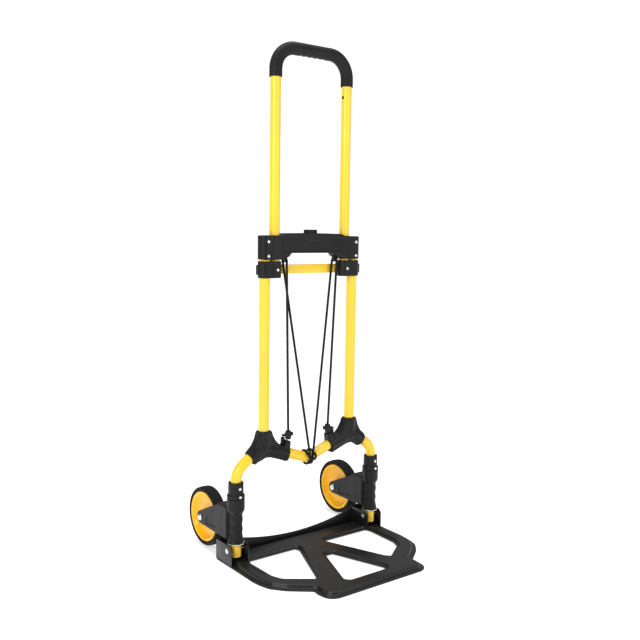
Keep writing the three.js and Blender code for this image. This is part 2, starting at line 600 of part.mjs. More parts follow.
function makeBrackets() {
  const bore = frame.tubeRadius + slideGap;
  const head = bracketTop - bracket.headHeight;
  const [flare, barrel, waist, headRadius] = [
    bracket.flareWall, bracket.barrelWall, bracket.waistWall, bracket.headWall,
  ].map((wall) => frame.tubeRadius + wall);
  const low = bracketBottom + 4;
  const wave = (head - low) / 6;
  const profile = [
    [bore, bracketBottom], [flare, bracketBottom], [flare, low], [barrel + 1, low + 0.6 * wave],
    [waist, low + 1.4 * wave], [barrel, low + 2.3 * wave], [waist, low + 3.3 * wave],
    [barrel, low + 4.3 * wave], [waist, low + 5.2 * wave],
    [headRadius, head], [headRadius, bracketTop], [bore, bracketTop],
  ];
  const side = new THREE.Shape();
  side.moveTo(bracket.rootBack - 4, forkTop - 3);
  side.lineTo(bracket.rootBack - 4, forkBottom);
  side.absarc(axleY, axleZ, fork.tipRadius, -Math.PI / 2, Math.PI / 2 - 0.25, false);
  for (const { name, sign } of sides) {
    const x = sign * base.legX;
    const half = forkHalf;
    const barrel = solid(turned(profile, 16)).translate([x, 0, 0]);
    const root = block(x - half, x + half, bracket.rootFront, bracket.rootBack, forkBottom - 1, forkTop);
    const arms = [x - half, x + half - fork.plate].map((start) => sidePlate(side, start, fork.plate));
    const rootHollow = block(x - half + fork.plate, x + half - fork.plate,
      frame.tubeRadius + fork.hollowFront, bracket.rootBack + 16, forkBottom - 13, forkTop - 4);
    const shaft = rod('z', bore, 0, farOff, [x, 0]);
    const axleHole = rod('x', axle.radius + restGap, x - half - 9, x + half + 9, [axleY, axleZ], 12);
    place(`wheel_bracket_${name}`,
      cut(join(barrel, cut(join(root, ...arms), rootHollow)), shaft, axleHole), 'blackPlastic');
  }
}

// An outline in the YZ plane with a thickness along X
function sidePlate(shape, x, thickness) {
  const options = { depth: thickness, bevelEnabled: false, curveSegments: 8 };
  const geometry = new THREE.ExtrudeGeometry(shape, options);
  return solid(geometry.rotateX(Math.PI / 2).rotateZ(Math.PI / 2).translate(x, 0, 0));
}

function makeWheels() {
  const half = wheel.width / 2;
  const bead = rimRadius;
  const shoulder = wheel.radius - 3.5;
  const tyreProfile = [
    [bead, -half + 3], [shoulder - 2, -half + 0.6], [shoulder, -half], [wheel.radius - 3, -half + 1.5],
    [wheel.radius - 0.6, -half + 5], [wheel.radius, 0], [wheel.radius - 0.6, half - 5],
    [wheel.radius - 3, half - 1.5], [shoulder, half], [shoulder - 2, half - 0.6], [bead, half - 3],
  ];
  const rim = bead - restGap;
  const hubHalf = half + wheel.hubProud;
  const bore = axle.radius + slideGap;
  const rimProfile = [
    [bore, -hubHalf], [wheel.hubRadius, -hubHalf], [wheel.hubRadius + 1, -half + 5],
    [wheel.hubRadius + 22, -half + 8], [rim - 5, -half + 4], [rim - 4, -half + 1], [rim, -half + 1],
    [rim, half - 1], [rim - 4, half - 1], [rim - 5, half - 4], [wheel.hubRadius + 22, half - 8],
    [wheel.hubRadius + 1, half - 5], [wheel.hubRadius, hubHalf], [bore, hubHalf],
  ];
  const upright = (profile, x) => solid(turned(profile, 28).rotateY(Math.PI / 2)
    .translate(x, axleY, axleZ));
  for (const { name, sign } of sides) {
    const x = sign * base.legX;
    place(`tyre_${name}`, upright(tyreProfile, x), 'blackRubber');
    place(`wheel_rim_${name}`, upright(rimProfile, x), 'orangePlastic');
    const reach = forkHalf + 0.2;
    const centre = [axleY, axleZ];
    place(`axle_bolt_${name}`, join(
      rod('x', axle.radius, x - reach, x + reach, centre, 12),
      rod('x', axle.headRadius, x - reach - axle.headHeight, x - reach, centre, 6),
      rod('x', axle.headRadius, x + reach, x + reach + axle.headHeight, centre, 6),
    ), 'brightSteel');
  }
}

// Toe plate: a pressed deck with a low flange, three stepped openings, a rear wall and ears --
function toeOutline() {
  const side = (inset, ahead) => [plateHalf - inset, toe.front + ahead];
  const half = [
    [plateHalf, toe.rear], side(0, 151), side(3, 128), side(10, 106), side(30, 82), side(54, 63),
    side(73, 49), side(70, 36), side(73, 16), side(81, 5), side(95, 0),
  ];
  return [...half, ...mirrored(half, -1).reverse()];
}

function toeOpenings() {
  const side = (inset, ahead) => [plateHalf - inset, toe.front + ahead];
  const sideHole = [
    [40, -14], [plateHalf - 44, -14], [plateHalf - 40, -28], side(42, 143), side(51, 120),
    [97, toe.front + 84], [90, toe.front + 92], [37, -25],
  ];
  const centreHole = [
    [9, -80], [52, toe.front + 52], [46, toe.front + 43], [-46, toe.front + 43],
    [-52, toe.front + 52], [-9, -80],
  ];
  return [sideHole, mirrored(sideHole, -1), centreHole];
}

function earOutline() {
  return shapeOf([
    [ear.front, toe.flange - 1], [toe.rear - 1, toe.flange - 1], [toe.rear - 1, ear.top],
    [ear.front + ear.corner, ear.top], [ear.front, ear.top - ear.corner],
  ]);
}

function makeToePlate() {
  const outline = toeOutline();
  const deckTop = toe.deckTop;
  const inner = offsetOutline(outline, -toe.step);
  const under = offsetOutline(outline, -toe.step - toe.sheet);
  const floor = toe.pocketFloor;
  const around = (margin) => toeOpenings().map((hole) => shapeOf(offsetOutline(hole, margin)));
  const rims = around(toe.pocketMargin + toe.pocketWall)
    .map((shape) => raised(shape, floor - toe.sheet, deckTop - 1));
  const pockets = around(toe.pocketMargin).map((shape) => raised(shape, floor, deckTop + 1));
  const holes = toeOpenings().map((hole) => raised(shapeOf(hole), -1, deckTop + 2));
  const shell = cut(
    join(raised(shapeOf(outline), 0, toe.flange), raised(shapeOf(inner), 0, deckTop)),
    raised(shapeOf(under), -1, deckTop - toe.sheet),
  );
  const wall = rearWall();
  const ears = sides.flatMap(({ sign }) => [-1, 1].map((face) => {
    const near = sign * base.legX + face * earOffset;
    const start = face > 0 ? near : near - ear.thickness;
    return sidePlate(earOutline(), start, ear.thickness);
  }));
  const pinHoles = sides.map(({ sign }) => rod('x', hinge.radius + restGap,
    sign * base.legX - drillReach, sign * base.legX + drillReach, [0, hinge.z], 12));
  const pressed = cut(join(shell, ...rims), ...pockets, ...holes);
  place('toe_plate', cut(join(pressed, wall, ...ears), ...pinHoles), 'blackSteel');
  for (const { name, sign } of sides) {
    const x = sign * base.legX;
    const reach = earOffset + ear.thickness + 0.2;
    place(`hinge_pin_${name}`, join(
      rod('x', hinge.radius, x - reach, x + reach, [0, hinge.z], 12),
      rod('x', hinge.headRadius, x - reach - hinge.headHeight, x - reach, [0, hinge.z], 14),
      rod('x', hinge.headRadius, x + reach, x + reach + hinge.headHeight, [0, hinge.z], 14),
    ), 'brightSteel');
  }
}

// Rear wall: full height behind the ears, dipping in a curve between them
function rearWall() {
  const half = base.legX + earOffset + ear.thickness;
  const dip = base.legX - earOffset - ear.thickness - 4;
  const shoulder = ear.top - ear.corner;
  const shape = new THREE.Shape();
  shape.moveTo(-half, 0.5);
  shape.lineTo(half, 0.5);
  shape.lineTo(half, ear.top);
  shape.lineTo(dip + 4, ear.top);
  shape.lineTo(dip, shoulder);
  shape.quadraticCurveTo(0, 2 * rearWallMid - shoulder, -dip, shoulder);
  shape.lineTo(-dip - 4, ear.top);
  shape.lineTo(-half, ear.top);
  return fronted(shape, toe.sheet, toe.rear - toe.sheet / 2, 10);
}

makeBaseTube();
makeFrameTubes();
makeSockets();
makeBridge();
makeLatch();
makeHandle();
makeSlideBlocks();
makeCord();
makeHooks();
makeCollars();
makeBrackets();
makeWheels();
makeToePlate();

// The origin is on the floor under the middle of the footprint
truck.position.y = -(toe.front + wheelBack) / 2;

export default truck;
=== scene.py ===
import math
import bmesh
import bpy
from mathutils import Matrix, Vector


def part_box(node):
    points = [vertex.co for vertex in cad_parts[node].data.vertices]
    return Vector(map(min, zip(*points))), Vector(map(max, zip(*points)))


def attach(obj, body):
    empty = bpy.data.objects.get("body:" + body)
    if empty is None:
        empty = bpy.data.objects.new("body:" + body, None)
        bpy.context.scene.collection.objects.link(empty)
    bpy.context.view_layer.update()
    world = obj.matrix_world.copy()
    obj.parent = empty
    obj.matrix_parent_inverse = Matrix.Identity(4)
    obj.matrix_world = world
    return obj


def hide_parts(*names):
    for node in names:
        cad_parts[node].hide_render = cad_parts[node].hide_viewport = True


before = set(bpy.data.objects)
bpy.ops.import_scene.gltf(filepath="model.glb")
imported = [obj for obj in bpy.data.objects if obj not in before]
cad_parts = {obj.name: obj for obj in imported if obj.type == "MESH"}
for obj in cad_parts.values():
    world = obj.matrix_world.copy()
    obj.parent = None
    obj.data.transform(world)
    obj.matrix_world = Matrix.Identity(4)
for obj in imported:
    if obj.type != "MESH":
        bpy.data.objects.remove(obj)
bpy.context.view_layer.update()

mm = 0.001  # metres
tubeLow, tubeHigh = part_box("frame_tube_left")
tubeY = (tubeLow.y + tubeHigh.y) / 2
toFrame = Matrix.Translation((0, tubeY, 0)) @ Matrix.Diagonal((mm, mm, mm, 1))
sides = {"Left": -1, "Right": 1}


# one socket of a node tree; arithmetic on it adds Math nodes
class Socket:
    def __init__(self, nodes, socket):
        self.nodes = nodes
        self.socket = socket

    def maths(self, operation, first, second):
        return self.nodes.add("ShaderNodeMath", {"operation": operation}, {0: first, 1: second})

    def __add__(self, other):
        return self.maths("ADD", self, other)

    def __radd__(self, other):
        return self.maths("ADD", other, self)

    def __sub__(self, other):
        return self.maths("SUBTRACT", self, other)

    def __rsub__(self, other):
        return self.maths("SUBTRACT", other, self)

    def __mul__(self, other):
        return self.maths("MULTIPLY", self, other)

    def __rmul__(self, other):
        return self.maths("MULTIPLY", other, self)


class Nodes:
    def __init__(self, tree):
        self.tree = tree

    # a node of any type: its settings first, then the values or links of its sockets
    def add(self, kind, settings=None, sockets=None, output=0):
        node = self.tree.nodes.new(kind)
        for key, value in (settings or {}).items():
            setattr(node, key, value)
        for key, value in (sockets or {}).items():
            target = self.find(node.inputs, key)
            if isinstance(value, Socket):
                self.tree.links.new(value.socket, target)
            else:
                target.default_value = value
        if len(node.outputs) == 0:
            return node
        return Socket(self, self.find(node.outputs, output))

    def find(self, sockets, key):
        if isinstance(key, int):
            return sockets[key]
        return next(socket for socket in sockets if socket.name == key and socket.enabled)

    def blend(self, amount, first, second):
        mix = {"data_type": "RGBA"}
        return self.add("ShaderNodeMix", mix, {"Factor": amount, "A": first, "B": second}, "Result")

    def noise(self, vector, scale, detail=2.0, roughness=0.5):
        return self.add("ShaderNodeTexNoise", {}, {
            "Vector": vector, "Scale": scale, "Detail": detail, "Roughness": roughness})

    # a smooth step from 0 to 1 between two values
    def step(self, value, low, high):
        return self.add("ShaderNodeMapRange", {"interpolation_type": "SMOOTHSTEP"}, {
            "Value": value, "From Min": low, "From Max": high})


def shade(red, green, blue):
    return (red, green, blue, 1.0)


# a finish: the colour drifts between two shades, the roughness drifts, and a grain stands up from it
def finish(name, look, extra=None):
    material = bpy.data.materials.new(name)
    material.use_nodes = True
    tree = material.node_tree
    tree.nodes.clear()
    nodes = Nodes(tree)
    place = nodes.add("ShaderNodeTexCoord", output="Object")
    drift = nodes.step(nodes.noise(place, look["driftScale"], 3.0), 0.35, 0.65)
    colour = nodes.blend(drift, look["colour"], look["deeper"])
    height = nodes.noise(place, look["grainScale"], 3.0, 0.6)
    rough = look["rough"] + look["roughDrift"] * nodes.noise(place, look["driftScale"] * 3, 2.0)
    if extra:
        colour, rough, height = extra(nodes, place, colour, rough, height)
    bump = nodes.add("ShaderNodeBump", {}, {
        "Strength": look["grain"], "Distance": look["grainHeight"] * mm, "Height": height}, "Normal")
    surface = nodes.add("ShaderNodeBsdfPrincipled", {}, {
        "Base Color": colour, "Roughness": rough, "Metallic": look.get("metal", 0.0),
        "Coat Weight": look.get("coat", 0.0), "Coat Roughness": look.get("coatRough", 0.1),
        "Specular IOR Level": look.get("specular", 0.5), "Normal": bump})
    nodes.add("ShaderNodeOutputMaterial", {}, {"Surface": surface})
    return material


# bright scratches that follow no direction, only where the paint has been handled
def handled(nodes, place, colour, rough, height):
    fine = nodes.noise(place, 260.0, 4.0, 0.7)
    marks = nodes.step(fine, 0.66, 0.74) * nodes.step(nodes.noise(place, 9.0, 2.0), 0.5, 0.7)
    return nodes.blend(marks * 0.16, colour, shade(0.95, 0.86, 0.55)), rough + 0.12 * marks, height


# shallow pits in a soft foam skin, with painted shade in each pit
def poresWithPaintedShade(nodes, place, colour, rough, height):
    cells = nodes.add("ShaderNodeTexVoronoi", {"feature": "F1"}, {
        "Vector": place, "Scale": 620.0}, "Distance")
    web = nodes.step(cells, 0.1, 0.5)
    # painted shade: the middle of each pit is painted near black, away from the web between them
    return nodes.blend(1 - web, colour, shade(0.004, 0.004, 0.0045)), rough, 0.6 * height + 0.7 * web


# painted shade: the wheel's colour is painted a darker orange towards the floor of its dish
def dishPaintedShade(nodes, place, colour, rough, height):
    split = nodes.add("ShaderNodeSeparateXYZ", {}, {"Vector": place}, "X")
    inward = nodes.add("ShaderNodeMath", {"operation": "ABSOLUTE"}, {0: split})
    fromMiddle = nodes.add("ShaderNodeMath", {"operation": "ABSOLUTE"}, {0: inward - wheel["x"] * mm})
    # painted shade, full near the wheel's middle plane and fading out towards the lip
    dishShade = 1 - nodes.step(fromMiddle, wheel["dishFloor"] * mm, wheel["dishRim"] * mm)
    return nodes.blend(dishShade * 0.75, colour, shade(0.98, 0.44, 0.0)), rough, height


# dust lies in patches over the tyre, lighter and rougher than the clean rubber
def dusted(nodes, place, colour, rough, height):
    dust = nodes.step(nodes.noise(place, 38.0, 4.0, 0.65), 0.48, 0.72)
    return nodes.blend(dust * 0.25, colour, shade(0.030, 0.029, 0.028)), rough + 0.1 * dust, height


# two sets of strands that cross over and under round the cord, with painted shade in the gaps between them
def braided(nodes, place, colour, rough, height):
    along = nodes.add("ShaderNodeAttribute", {"attribute_name": "along"}, output="Fac")
    around = nodes.add("ShaderNodeAttribute", {"attribute_name": "around"}, output="Vector")
    across = nodes.add("ShaderNodeSeparateXYZ", {}, {"Vector": around}, "X")
    upward = nodes.add("ShaderNodeSeparateXYZ", {}, {"Vector": around}, "Y")
    angle = nodes.add("ShaderNodeMath", {"operation": "ARCTAN2"}, {0: upward, 1: across})
    turns = angle * braid["strands"]
    run = along * (braid["strands"] * 2 * math.pi / (braid["pitch"] * mm))
    one = nodes.add("ShaderNodeMath", {"operation": "SINE"}, {0: turns + run})
    other = nodes.add("ShaderNodeMath", {"operation": "SINE"}, {0: turns - run})
    weave = 0.5 + 0.5 * (one * other)
    fleck = nodes.step(nodes.noise(place, 300.0, 1.0), 0.6, 0.7)
    # painted shade: the strands keep the cord's colour and the dips between them are painted near black
    strandsWithPaintedShade = nodes.blend(weave, shade(0.003, 0.003, 0.0035), colour)
    return nodes.blend(fleck * 0.3, strandsWithPaintedShade, shade(0.05, 0.05, 0.055)), rough, weave + 0.15 * height


# fine turning marks on plated steel
def plated(nodes, place, colour, rough, height):
    cloud = nodes.noise(place, 90.0, 3.0)
    return nodes.blend(cloud * 0.5, colour, shade(0.52, 0.52, 0.55)), rough + 0.14 * cloud, height


# the wheel's places are read by its finish and its pieces, the braid's by the cord's finish alone
wheel = {"x": 178, "y": 113.5, "z": 67.5, "bead": 53, "bore": 4.5, "dishFloor": 2, "dishRim": 11.5,
         "segments": 112}
braid = {"strands": 8, "pitch": 17.0}

yellowPaint = finish("yellowPaint", {
    "colour": shade(0.96, 0.635, 0.026), "deeper": shade(0.94, 0.60, 0.021), "driftScale": 11.0,
    "rough": 0.27, "roughDrift": 0.12, "grainScale": 640.0, "grain": 0.16, "grainHeight": 0.12,
    "coat": 0.35, "coatRough": 0.16}, handled)
blackMoulding = finish("blackMoulding", {
    "colour": shade(0.0072, 0.0072, 0.0082), "deeper": shade(0.0052, 0.0052, 0.006), "driftScale": 16.0,
    "rough": 0.34, "roughDrift": 0.14, "grainScale": 1700.0, "grain": 0.4, "grainHeight": 0.10,
    "specular": 0.24})
blackSteelPaint = finish("blackSteelPaint", {
    "colour": shade(0.010, 0.010, 0.0115), "deeper": shade(0.007, 0.007, 0.008), "driftScale": 9.0,
    "rough": 0.30, "roughDrift": 0.12, "grainScale": 1050.0, "grain": 0.5, "grainHeight": 0.1,
    "specular": 0.45})
foam = finish("foam", {
    "colour": shade(0.0085, 0.0085, 0.0095), "deeper": shade(0.006, 0.006, 0.007), "driftScale": 30.0,
    "rough": 0.56, "roughDrift": 0.15, "grainScale": 1500.0, "grain": 0.6, "grainHeight": 0.2,
    "specular": 0.26}, poresWithPaintedShade)
tyreRubber = finish("tyreRubber", {
    "colour": shade(0.006, 0.006, 0.0068), "deeper": shade(0.0085, 0.0085, 0.0092), "driftScale": 20.0,
    "rough": 0.58, "roughDrift": 0.16, "grainScale": 1300.0, "grain": 0.4, "grainHeight": 0.1,
    "specular": 0.15}, dusted)
wheelPlastic = finish("wheelPlastic", {
    "colour": shade(1.0, 0.56, 0.002), "deeper": shade(0.97, 0.51, 0.001), "driftScale": 18.0,
    "rough": 0.10, "roughDrift": 0.06, "grainScale": 420.0, "grain": 0.12, "grainHeight": 0.1,
    "coat": 0.2, "coatRough": 0.03, "specular": 0.3}, dishPaintedShade)
elasticBraid = finish("elasticBraid", {
    "colour": shade(0.011, 0.011, 0.012), "deeper": shade(0.008, 0.008, 0.009), "driftScale": 60.0,
    "rough": 0.55, "roughDrift": 0.1, "grainScale": 2600.0, "grain": 0.5, "grainHeight": 0.2,
    "specular": 0.2}, braided)
brightSteel = finish("brightSteel", {
    "colour": shade(0.86, 0.86, 0.87), "deeper": shade(0.74, 0.74, 0.76), "driftScale": 120.0,
    "rough": 0.16, "roughDrift": 0.1, "grainScale": 2200.0, "grain": 0.2, "grainHeight": 0.05,
    "metal": 1.0}, plated)
print("finishes ready")


def added(name, data):
    thing = bpy.data.objects.new(name, data)
    bpy.context.scene.collection.objects.link(thing)
    return thing


def meshed(name, shape):
    mesh = bpy.data.meshes.new(name)
    shape.to_mesh(mesh)
    shape.free()
    return added(name, mesh)


# shapes are drawn in millimetres with y = 0 at the middle of the tubes; toFrame sets them in the frame
def objectFrom(name, shape):
    bmesh.ops.recalc_face_normals(shape, faces=shape.faces[:])
    shape.transform(toFrame)
    return meshed(name, shape)


def removed(thing):
    bpy.data.objects.remove(thing, do_unlink=True)


# the object with its modifiers made part of its mesh
def settled(thing):
    bpy.context.view_layer.update()
    evaluated = thing.evaluated_get(bpy.context.evaluated_depsgraph_get())
    mesh = bpy.data.meshes.new_from_object(evaluated)
    mesh.name = thing.name
    if thing.type == "MESH":
        thing.modifiers.clear()
        thing.data = mesh
        return thing
    name = thing.name
    removed(thing)
    return added(name, mesh)


def onAxis(axis, centre, along, first, second):
    if axis == "x":
        return Vector((along, centre[0] + first, centre[1] + second))
    if axis == "y":
        return Vector((centre[0] + first, along, centre[1] + second))
    return Vector((centre[0] + first, centre[1] + second, along))


# rings joined one to the next; a ring of one point is a pole
def skin(shape, rings, closed):
    pairs = list(zip(rings, rings[1:]))
    if closed:
        pairs.append((rings[-1], rings[0]))
    for low, high in pairs:
        count = max(len(low), len(high))
        if count == 1:
            continue
        for step in range(count):
            corners = [low[step % len(low)], low[(step + 1) % len(low)],
                       high[(step + 1) % len(high)], high[step % len(high)]]
            distinct = list(dict.fromkeys(corners))
            if len(distinct) > 2:
                shape.faces.new(distinct)


# a solid of revolution from (radius, along) points
def turned(profile, axis, centre, segments=64):
    shape = bmesh.new()
    rings = []
    for radius, along in profile:
        count = segments if radius > 1e-6 else 1
        rings.append([shape.verts.new(onAxis(
            axis, centre, along, radius * math.cos(2 * math.pi * step / count),
            radius * math.sin(2 * math.pi * step / count))) for step in range(count)])
    skin(shape, rings, profile[0][0] > 1e-6)
    return shape


def rod(axis, radius, low, high, centre, segments=48):
    return turned([(0, low), (radius, low), (radius, high), (0, high)], axis, centre, segments)


# points along straight runs with round bends; works in two or three dimensions
def bent(points, radius, steps=8, closed=False):
    corners = [Vector(point) for point in points]
    count = len(corners)
    radii = radius if isinstance(radius, list) else [radius] * count
    path = []
    for index, corner in enumerate(corners):
        if not closed and index in (0, count - 1):
            path.append(corner)
            continue
        before, after = corners[index - 1], corners[(index + 1) % count]
        arrive, leave = (corner - before), (after - corner)
        first, final = index == 1 and not closed, index == count - 2 and not closed
        room = min(arrive.length * (0.98 if first else 0.48), leave.length * (0.98 if final else 0.48))
        arrive.normalize()
        leave.normalize()
        angle = arrive.angle(leave, 0.0)
        if angle < 1e-3:
            path += [corner.copy() for _ in range(steps + 1)] if closed else [corner]
            continue
        size = min(radii[index], room / math.tan(angle / 2))
        centre = corner + (leave - arrive).normalized() * (size / math.cos(angle / 2))
        start = corner - arrive * (size * math.tan(angle / 2)) - centre
        for step in range(steps + 1):
            swing = angle * step / steps
            path.append(centre + start * math.cos(swing) + arrive * (size * math.sin(swing)))
    return path


def signedArea(points):
    total = 0.0
    for index, point in enumerate(points):
        after = points[(index + 1) % len(points)]
        total += point[0] * after[1] - after[0] * point[1]
    return total / 2


# sharp outline moved outwards by a distance, with each corner then rounded to suit
def ringOf(points, outwards, radius, steps=5):
    turn = 1 if signedArea(points) > 0 else -1
    moved, radii = [], []
    for index, point in enumerate(points):
        here = Vector(point)
        arrive = (here - Vector(points[index - 1])).normalized()
        leave = (Vector(points[(index + 1) % len(points)]) - here).normalized()
        normal = Vector((arrive.y + leave.y, -arrive.x - leave.x)).normalized() * turn
        lean = normal.x * arrive.y * turn - normal.y * arrive.x * turn
        moved.append(here + normal * (outwards / lean))
        convex = (arrive.x * leave.y - arrive.y * leave.x) * turn > 0
        base = radius[index] if isinstance(radius, list) else radius
        radii.append(max(0.4, base + outwards if convex else base - outwards))
    return bent(moved, radii, steps, True)


# a solid from rings of places, one above the next, with a face over each end
def stacked(levels):
    shape = bmesh.new()
    rings = [[shape.verts.new(place) for place in level] for level in levels]
    skin(shape, rings, False)
    shape.faces.new(rings[0])
    shape.faces.new(rings[-1])
    return shape


# a slab with softened edges: its outline lies across the axis
def slab(outline, low, high, axis, edge=0.6, corner=1.0, steps=4):
    levels = [(-edge, low), (-0.3 * edge, low + 0.3 * edge), (0, low + edge),
              (0, high - edge), (-0.3 * edge, high - 0.3 * edge), (-edge, high)]
    return stacked([[onAxis(axis, (0, 0), along, point[0], point[1])
                     for point in ringOf(outline, outwards, corner, steps)]
                    for outwards, along in levels])


def block(x0, x1, y0, y1, z0, z1):
    return stacked([[(x0, y0, z), (x1, y0, z), (x1, y1, z), (x0, y1, z)] for z in (z0, z1)])


def softBlock(x0, x1, y0, y1, z0, z1, edge=0.8, corner=1.5):
    return slab([(x0, y0), (x1, y0), (x1, y1), (x0, y1)], z0, z1, "z", edge, corner)


# one kind of boolean with each of several shapes
def combine(thing, operation, shapes, solver="MANIFOLD"):
    for shape in shapes:
        tool = objectFrom("tool", shape)
        change = thing.modifiers.new("cut", "BOOLEAN")
        change.operation, change.solver, change.object = operation, solver, tool
        settled(thing)
        removed(tool)
    return thing


# solids joined, hollows taken away, and what lies outside the last shapes cut off
def carved(name, solids, hollows=(), within=()):
    whole = objectFrom(name, solids[0])
    combine(whole, "UNION", solids[1:])
    combine(whole, "DIFFERENCE", hollows)
    return combine(whole, "INTERSECT", within)


# the soft edges and blends of a moulding: even faces, then a little smoothing
def moulded(thing, voxel=1.0, rounds=6):
    even = thing.modifiers.new("even", "REMESH")
    even.mode, even.voxel_size, even.use_smooth_shade = "VOXEL", voxel * mm, True
    soft = thing.modifiers.new("soft", "SMOOTH")
    soft.factor, soft.iterations = 0.5, rounds
    return settled(thing)


# several separate shapes as one object
def joined(name, shapes):
    whole = bmesh.new()
    for shape in shapes:
        bmesh.ops.recalc_face_normals(shape, faces=shape.faces[:])
        part = bpy.data.meshes.new("part")
        shape.to_mesh(part)
        shape.free()
        whole.from_mesh(part)
        bpy.data.meshes.remove(part)
    whole.transform(toFrame)
    return meshed(name, whole)


# smooth faces with a crisp line wherever two of them meet at more than the angle
def smooth(thing, degrees=35):
    mesh = thing.data
    shape = bmesh.new()
    shape.from_mesh(mesh)
    limit = math.radians(degrees)
    for face in shape.faces:
        face.smooth = True
    for edge in shape.edges:
        edge.smooth = len(edge.link_faces) == 2 and edge.calc_face_angle(0.0) < limit
    shape.to_mesh(mesh)
    shape.free()
    return thing


# a finished piece: its material, the body that it rides on and the nodes that it replaces
def fitted(thing, material, body, slot, *nodes):
    thing.data.materials.clear()
    thing.data.materials.append(material)
    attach(thing, body)
    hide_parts(*nodes)
    return thing


# a tree with named inputs; the keys are what a modifier's inputs are set by
def newTree(name, inputs):
    tree = bpy.data.node_groups.new(name, "GeometryNodeTree")
    keys = {}
    for label, kind in inputs.items():
        keys[label] = tree.interface.new_socket(label, in_out="INPUT", socket_type=kind).identifier
    tree.interface.new_socket("Geometry", in_out="OUTPUT", socket_type="NodeSocketGeometry")
    nodes = Nodes(tree)
    given = tree.nodes.new("NodeGroupInput")
    outlet = {label: Socket(nodes, nodes.find(given.outputs, label)) for label in inputs}
    return tree, nodes, outlet, keys


# a round section swept along a path
def sweepTree():
    tree, nodes, given, keys = newTree("sweptRound", {
        "Path": "NodeSocketGeometry", "Radius": "NodeSocketFloat", "Sides": "NodeSocketInt",
        "Capped": "NodeSocketBool", "Finish": "NodeSocketMaterial"})
    length = nodes.add("GeometryNodeSplineParameter", output="Length")
    path = nodes.add("GeometryNodeStoreNamedAttribute", {"data_type": "FLOAT", "domain": "POINT"}, {
        "Geometry": given["Path"], "Name": "along", "Value": length})
    circle = nodes.add("GeometryNodeCurvePrimitiveCircle", {"mode": "RADIUS"}, {
        "Resolution": given["Sides"], "Radius": given["Radius"]})
    place = nodes.add("GeometryNodeInputPosition")
    direction = nodes.add("ShaderNodeVectorMath", {"operation": "NORMALIZE"}, {0: place})
    ring = nodes.add("GeometryNodeStoreNamedAttribute", {"data_type": "FLOAT_VECTOR", "domain": "POINT"}, {
        "Geometry": circle, "Name": "around", "Value": direction})
    tube = nodes.add("GeometryNodeCurveToMesh", {}, {
        "Curve": path, "Profile Curve": ring, "Fill Caps": given["Capped"]})
    even = nodes.add("GeometryNodeSetShadeSmooth", {}, {"Geometry": tube})
    real = nodes.add("GeometryNodeRealizeInstances", {}, {"Geometry": even})
    done = nodes.add("GeometryNodeSetMaterial", {}, {"Geometry": real, "Material": given["Finish"]})
    nodes.add("NodeGroupOutput", {}, {0: done})
    return tree, keys


# a head set on each point, turned to its own direction
def headTree():
    tree, nodes, given, keys = newTree("headsOnPoints", {
        "Points": "NodeSocketGeometry", "Head": "NodeSocketObject", "Finish": "NodeSocketMaterial"})
    head = nodes.add("GeometryNodeObjectInfo", {}, {"Object": given["Head"]}, "Geometry")
    facing = nodes.add("GeometryNodeInputNamedAttribute", {"data_type": "FLOAT_VECTOR"}, {
        "Name": "facing"}, "Attribute")
    turn = nodes.add("FunctionNodeAlignRotationToVector", {"axis": "Z"}, {"Vector": facing})
    heads = nodes.add("GeometryNodeInstanceOnPoints", {}, {
        "Points": given["Points"], "Instance": head, "Rotation": turn})
    real = nodes.add("GeometryNodeRealizeInstances", {}, {"Geometry": heads})
    done = nodes.add("GeometryNodeSetMaterial", {}, {"Geometry": real, "Material": given["Finish"]})
    nodes.add("NodeGroupOutput", {}, {0: done})
    return tree, keys


sweepNodes, sweepKeys = sweepTree()
headNodes, headKeys = headTree()


# a mesh with the doubled points of its seams merged
def mergedShape(thing):
    shape = bmesh.new()
    shape.from_mesh(thing.data)
    bmesh.ops.remove_doubles(shape, verts=shape.verts[:], dist=1e-7)
    return shape


# a skin given a wall inwards
def walled(thing, wall):
    thick = thing.modifiers.new("wall", "SOLIDIFY")
    thick.thickness, thick.offset = wall * mm, -1
    return settled(thing)


def swept(name, path, radius, material, around=48, capped=False, wall=0.0):
    curve = bpy.data.curves.new(name, "CURVE")
    curve.dimensions = "3D"
    line = curve.splines.new("POLY")
    line.points.add(len(path) - 1)
    for point, place in zip(line.points, path):
        point.co = (toFrame @ Vector(place)).to_4d()
    thing = added(name, curve)
    sweep = thing.modifiers.new("sweep", "NODES")
    sweep.node_group = sweepNodes
    values = {"Radius": radius * mm, "Sides": around, "Capped": capped, "Finish": material}
    for label, value in values.items():
        sweep[sweepKeys[label]] = value
    thing = settled(thing)
    if not wall:
        return thing
    shape = mergedShape(thing)
    bmesh.ops.recalc_face_normals(shape, faces=shape.faces[:])
    shape.to_mesh(thing.data)
    shape.free()
    return walled(thing, wall)


def upright(points):
    return [(x, 0, z) for x, z in points]


def mirroredPoints(points):
    return [(-x, y) for x, y in points]


# the steel tubes
tubes = {
    "radius": 11, "wall": 1.2, "x": 112.3, "bottom": 244, "top": 660,
    "handleRadius": 10.5, "handleX": 89.7, "handleBottom": 582, "handleTop": 1035.5,
    "baseBend": 40, "baseSteps": 14, "handleBend": 45, "handleSteps": 16,
    "lockHole": 4.0, "lockHoleZ": [953, 648], "pinHole": 3.5,
}
legs = {"x": 178, "bottom": 16, "shoulder": 190, "peakX": 118, "peak": 236, "centre": 192}
hinge = {"z": 30, "radius": 3, "reach": 20.6, "holeFrom": 150, "holeTo": 205}


# from the foot of one leg over both crests to the foot of the other
def baseRun(bottom):
    half = [(legs["x"], bottom), (legs["x"], legs["shoulder"]), (legs["peakX"], legs["peak"])]
    run = mirroredPoints(half) + [(0, legs["centre"])] + half[::-1]
    return bent(upright(run), tubes["baseBend"], tubes["baseSteps"])


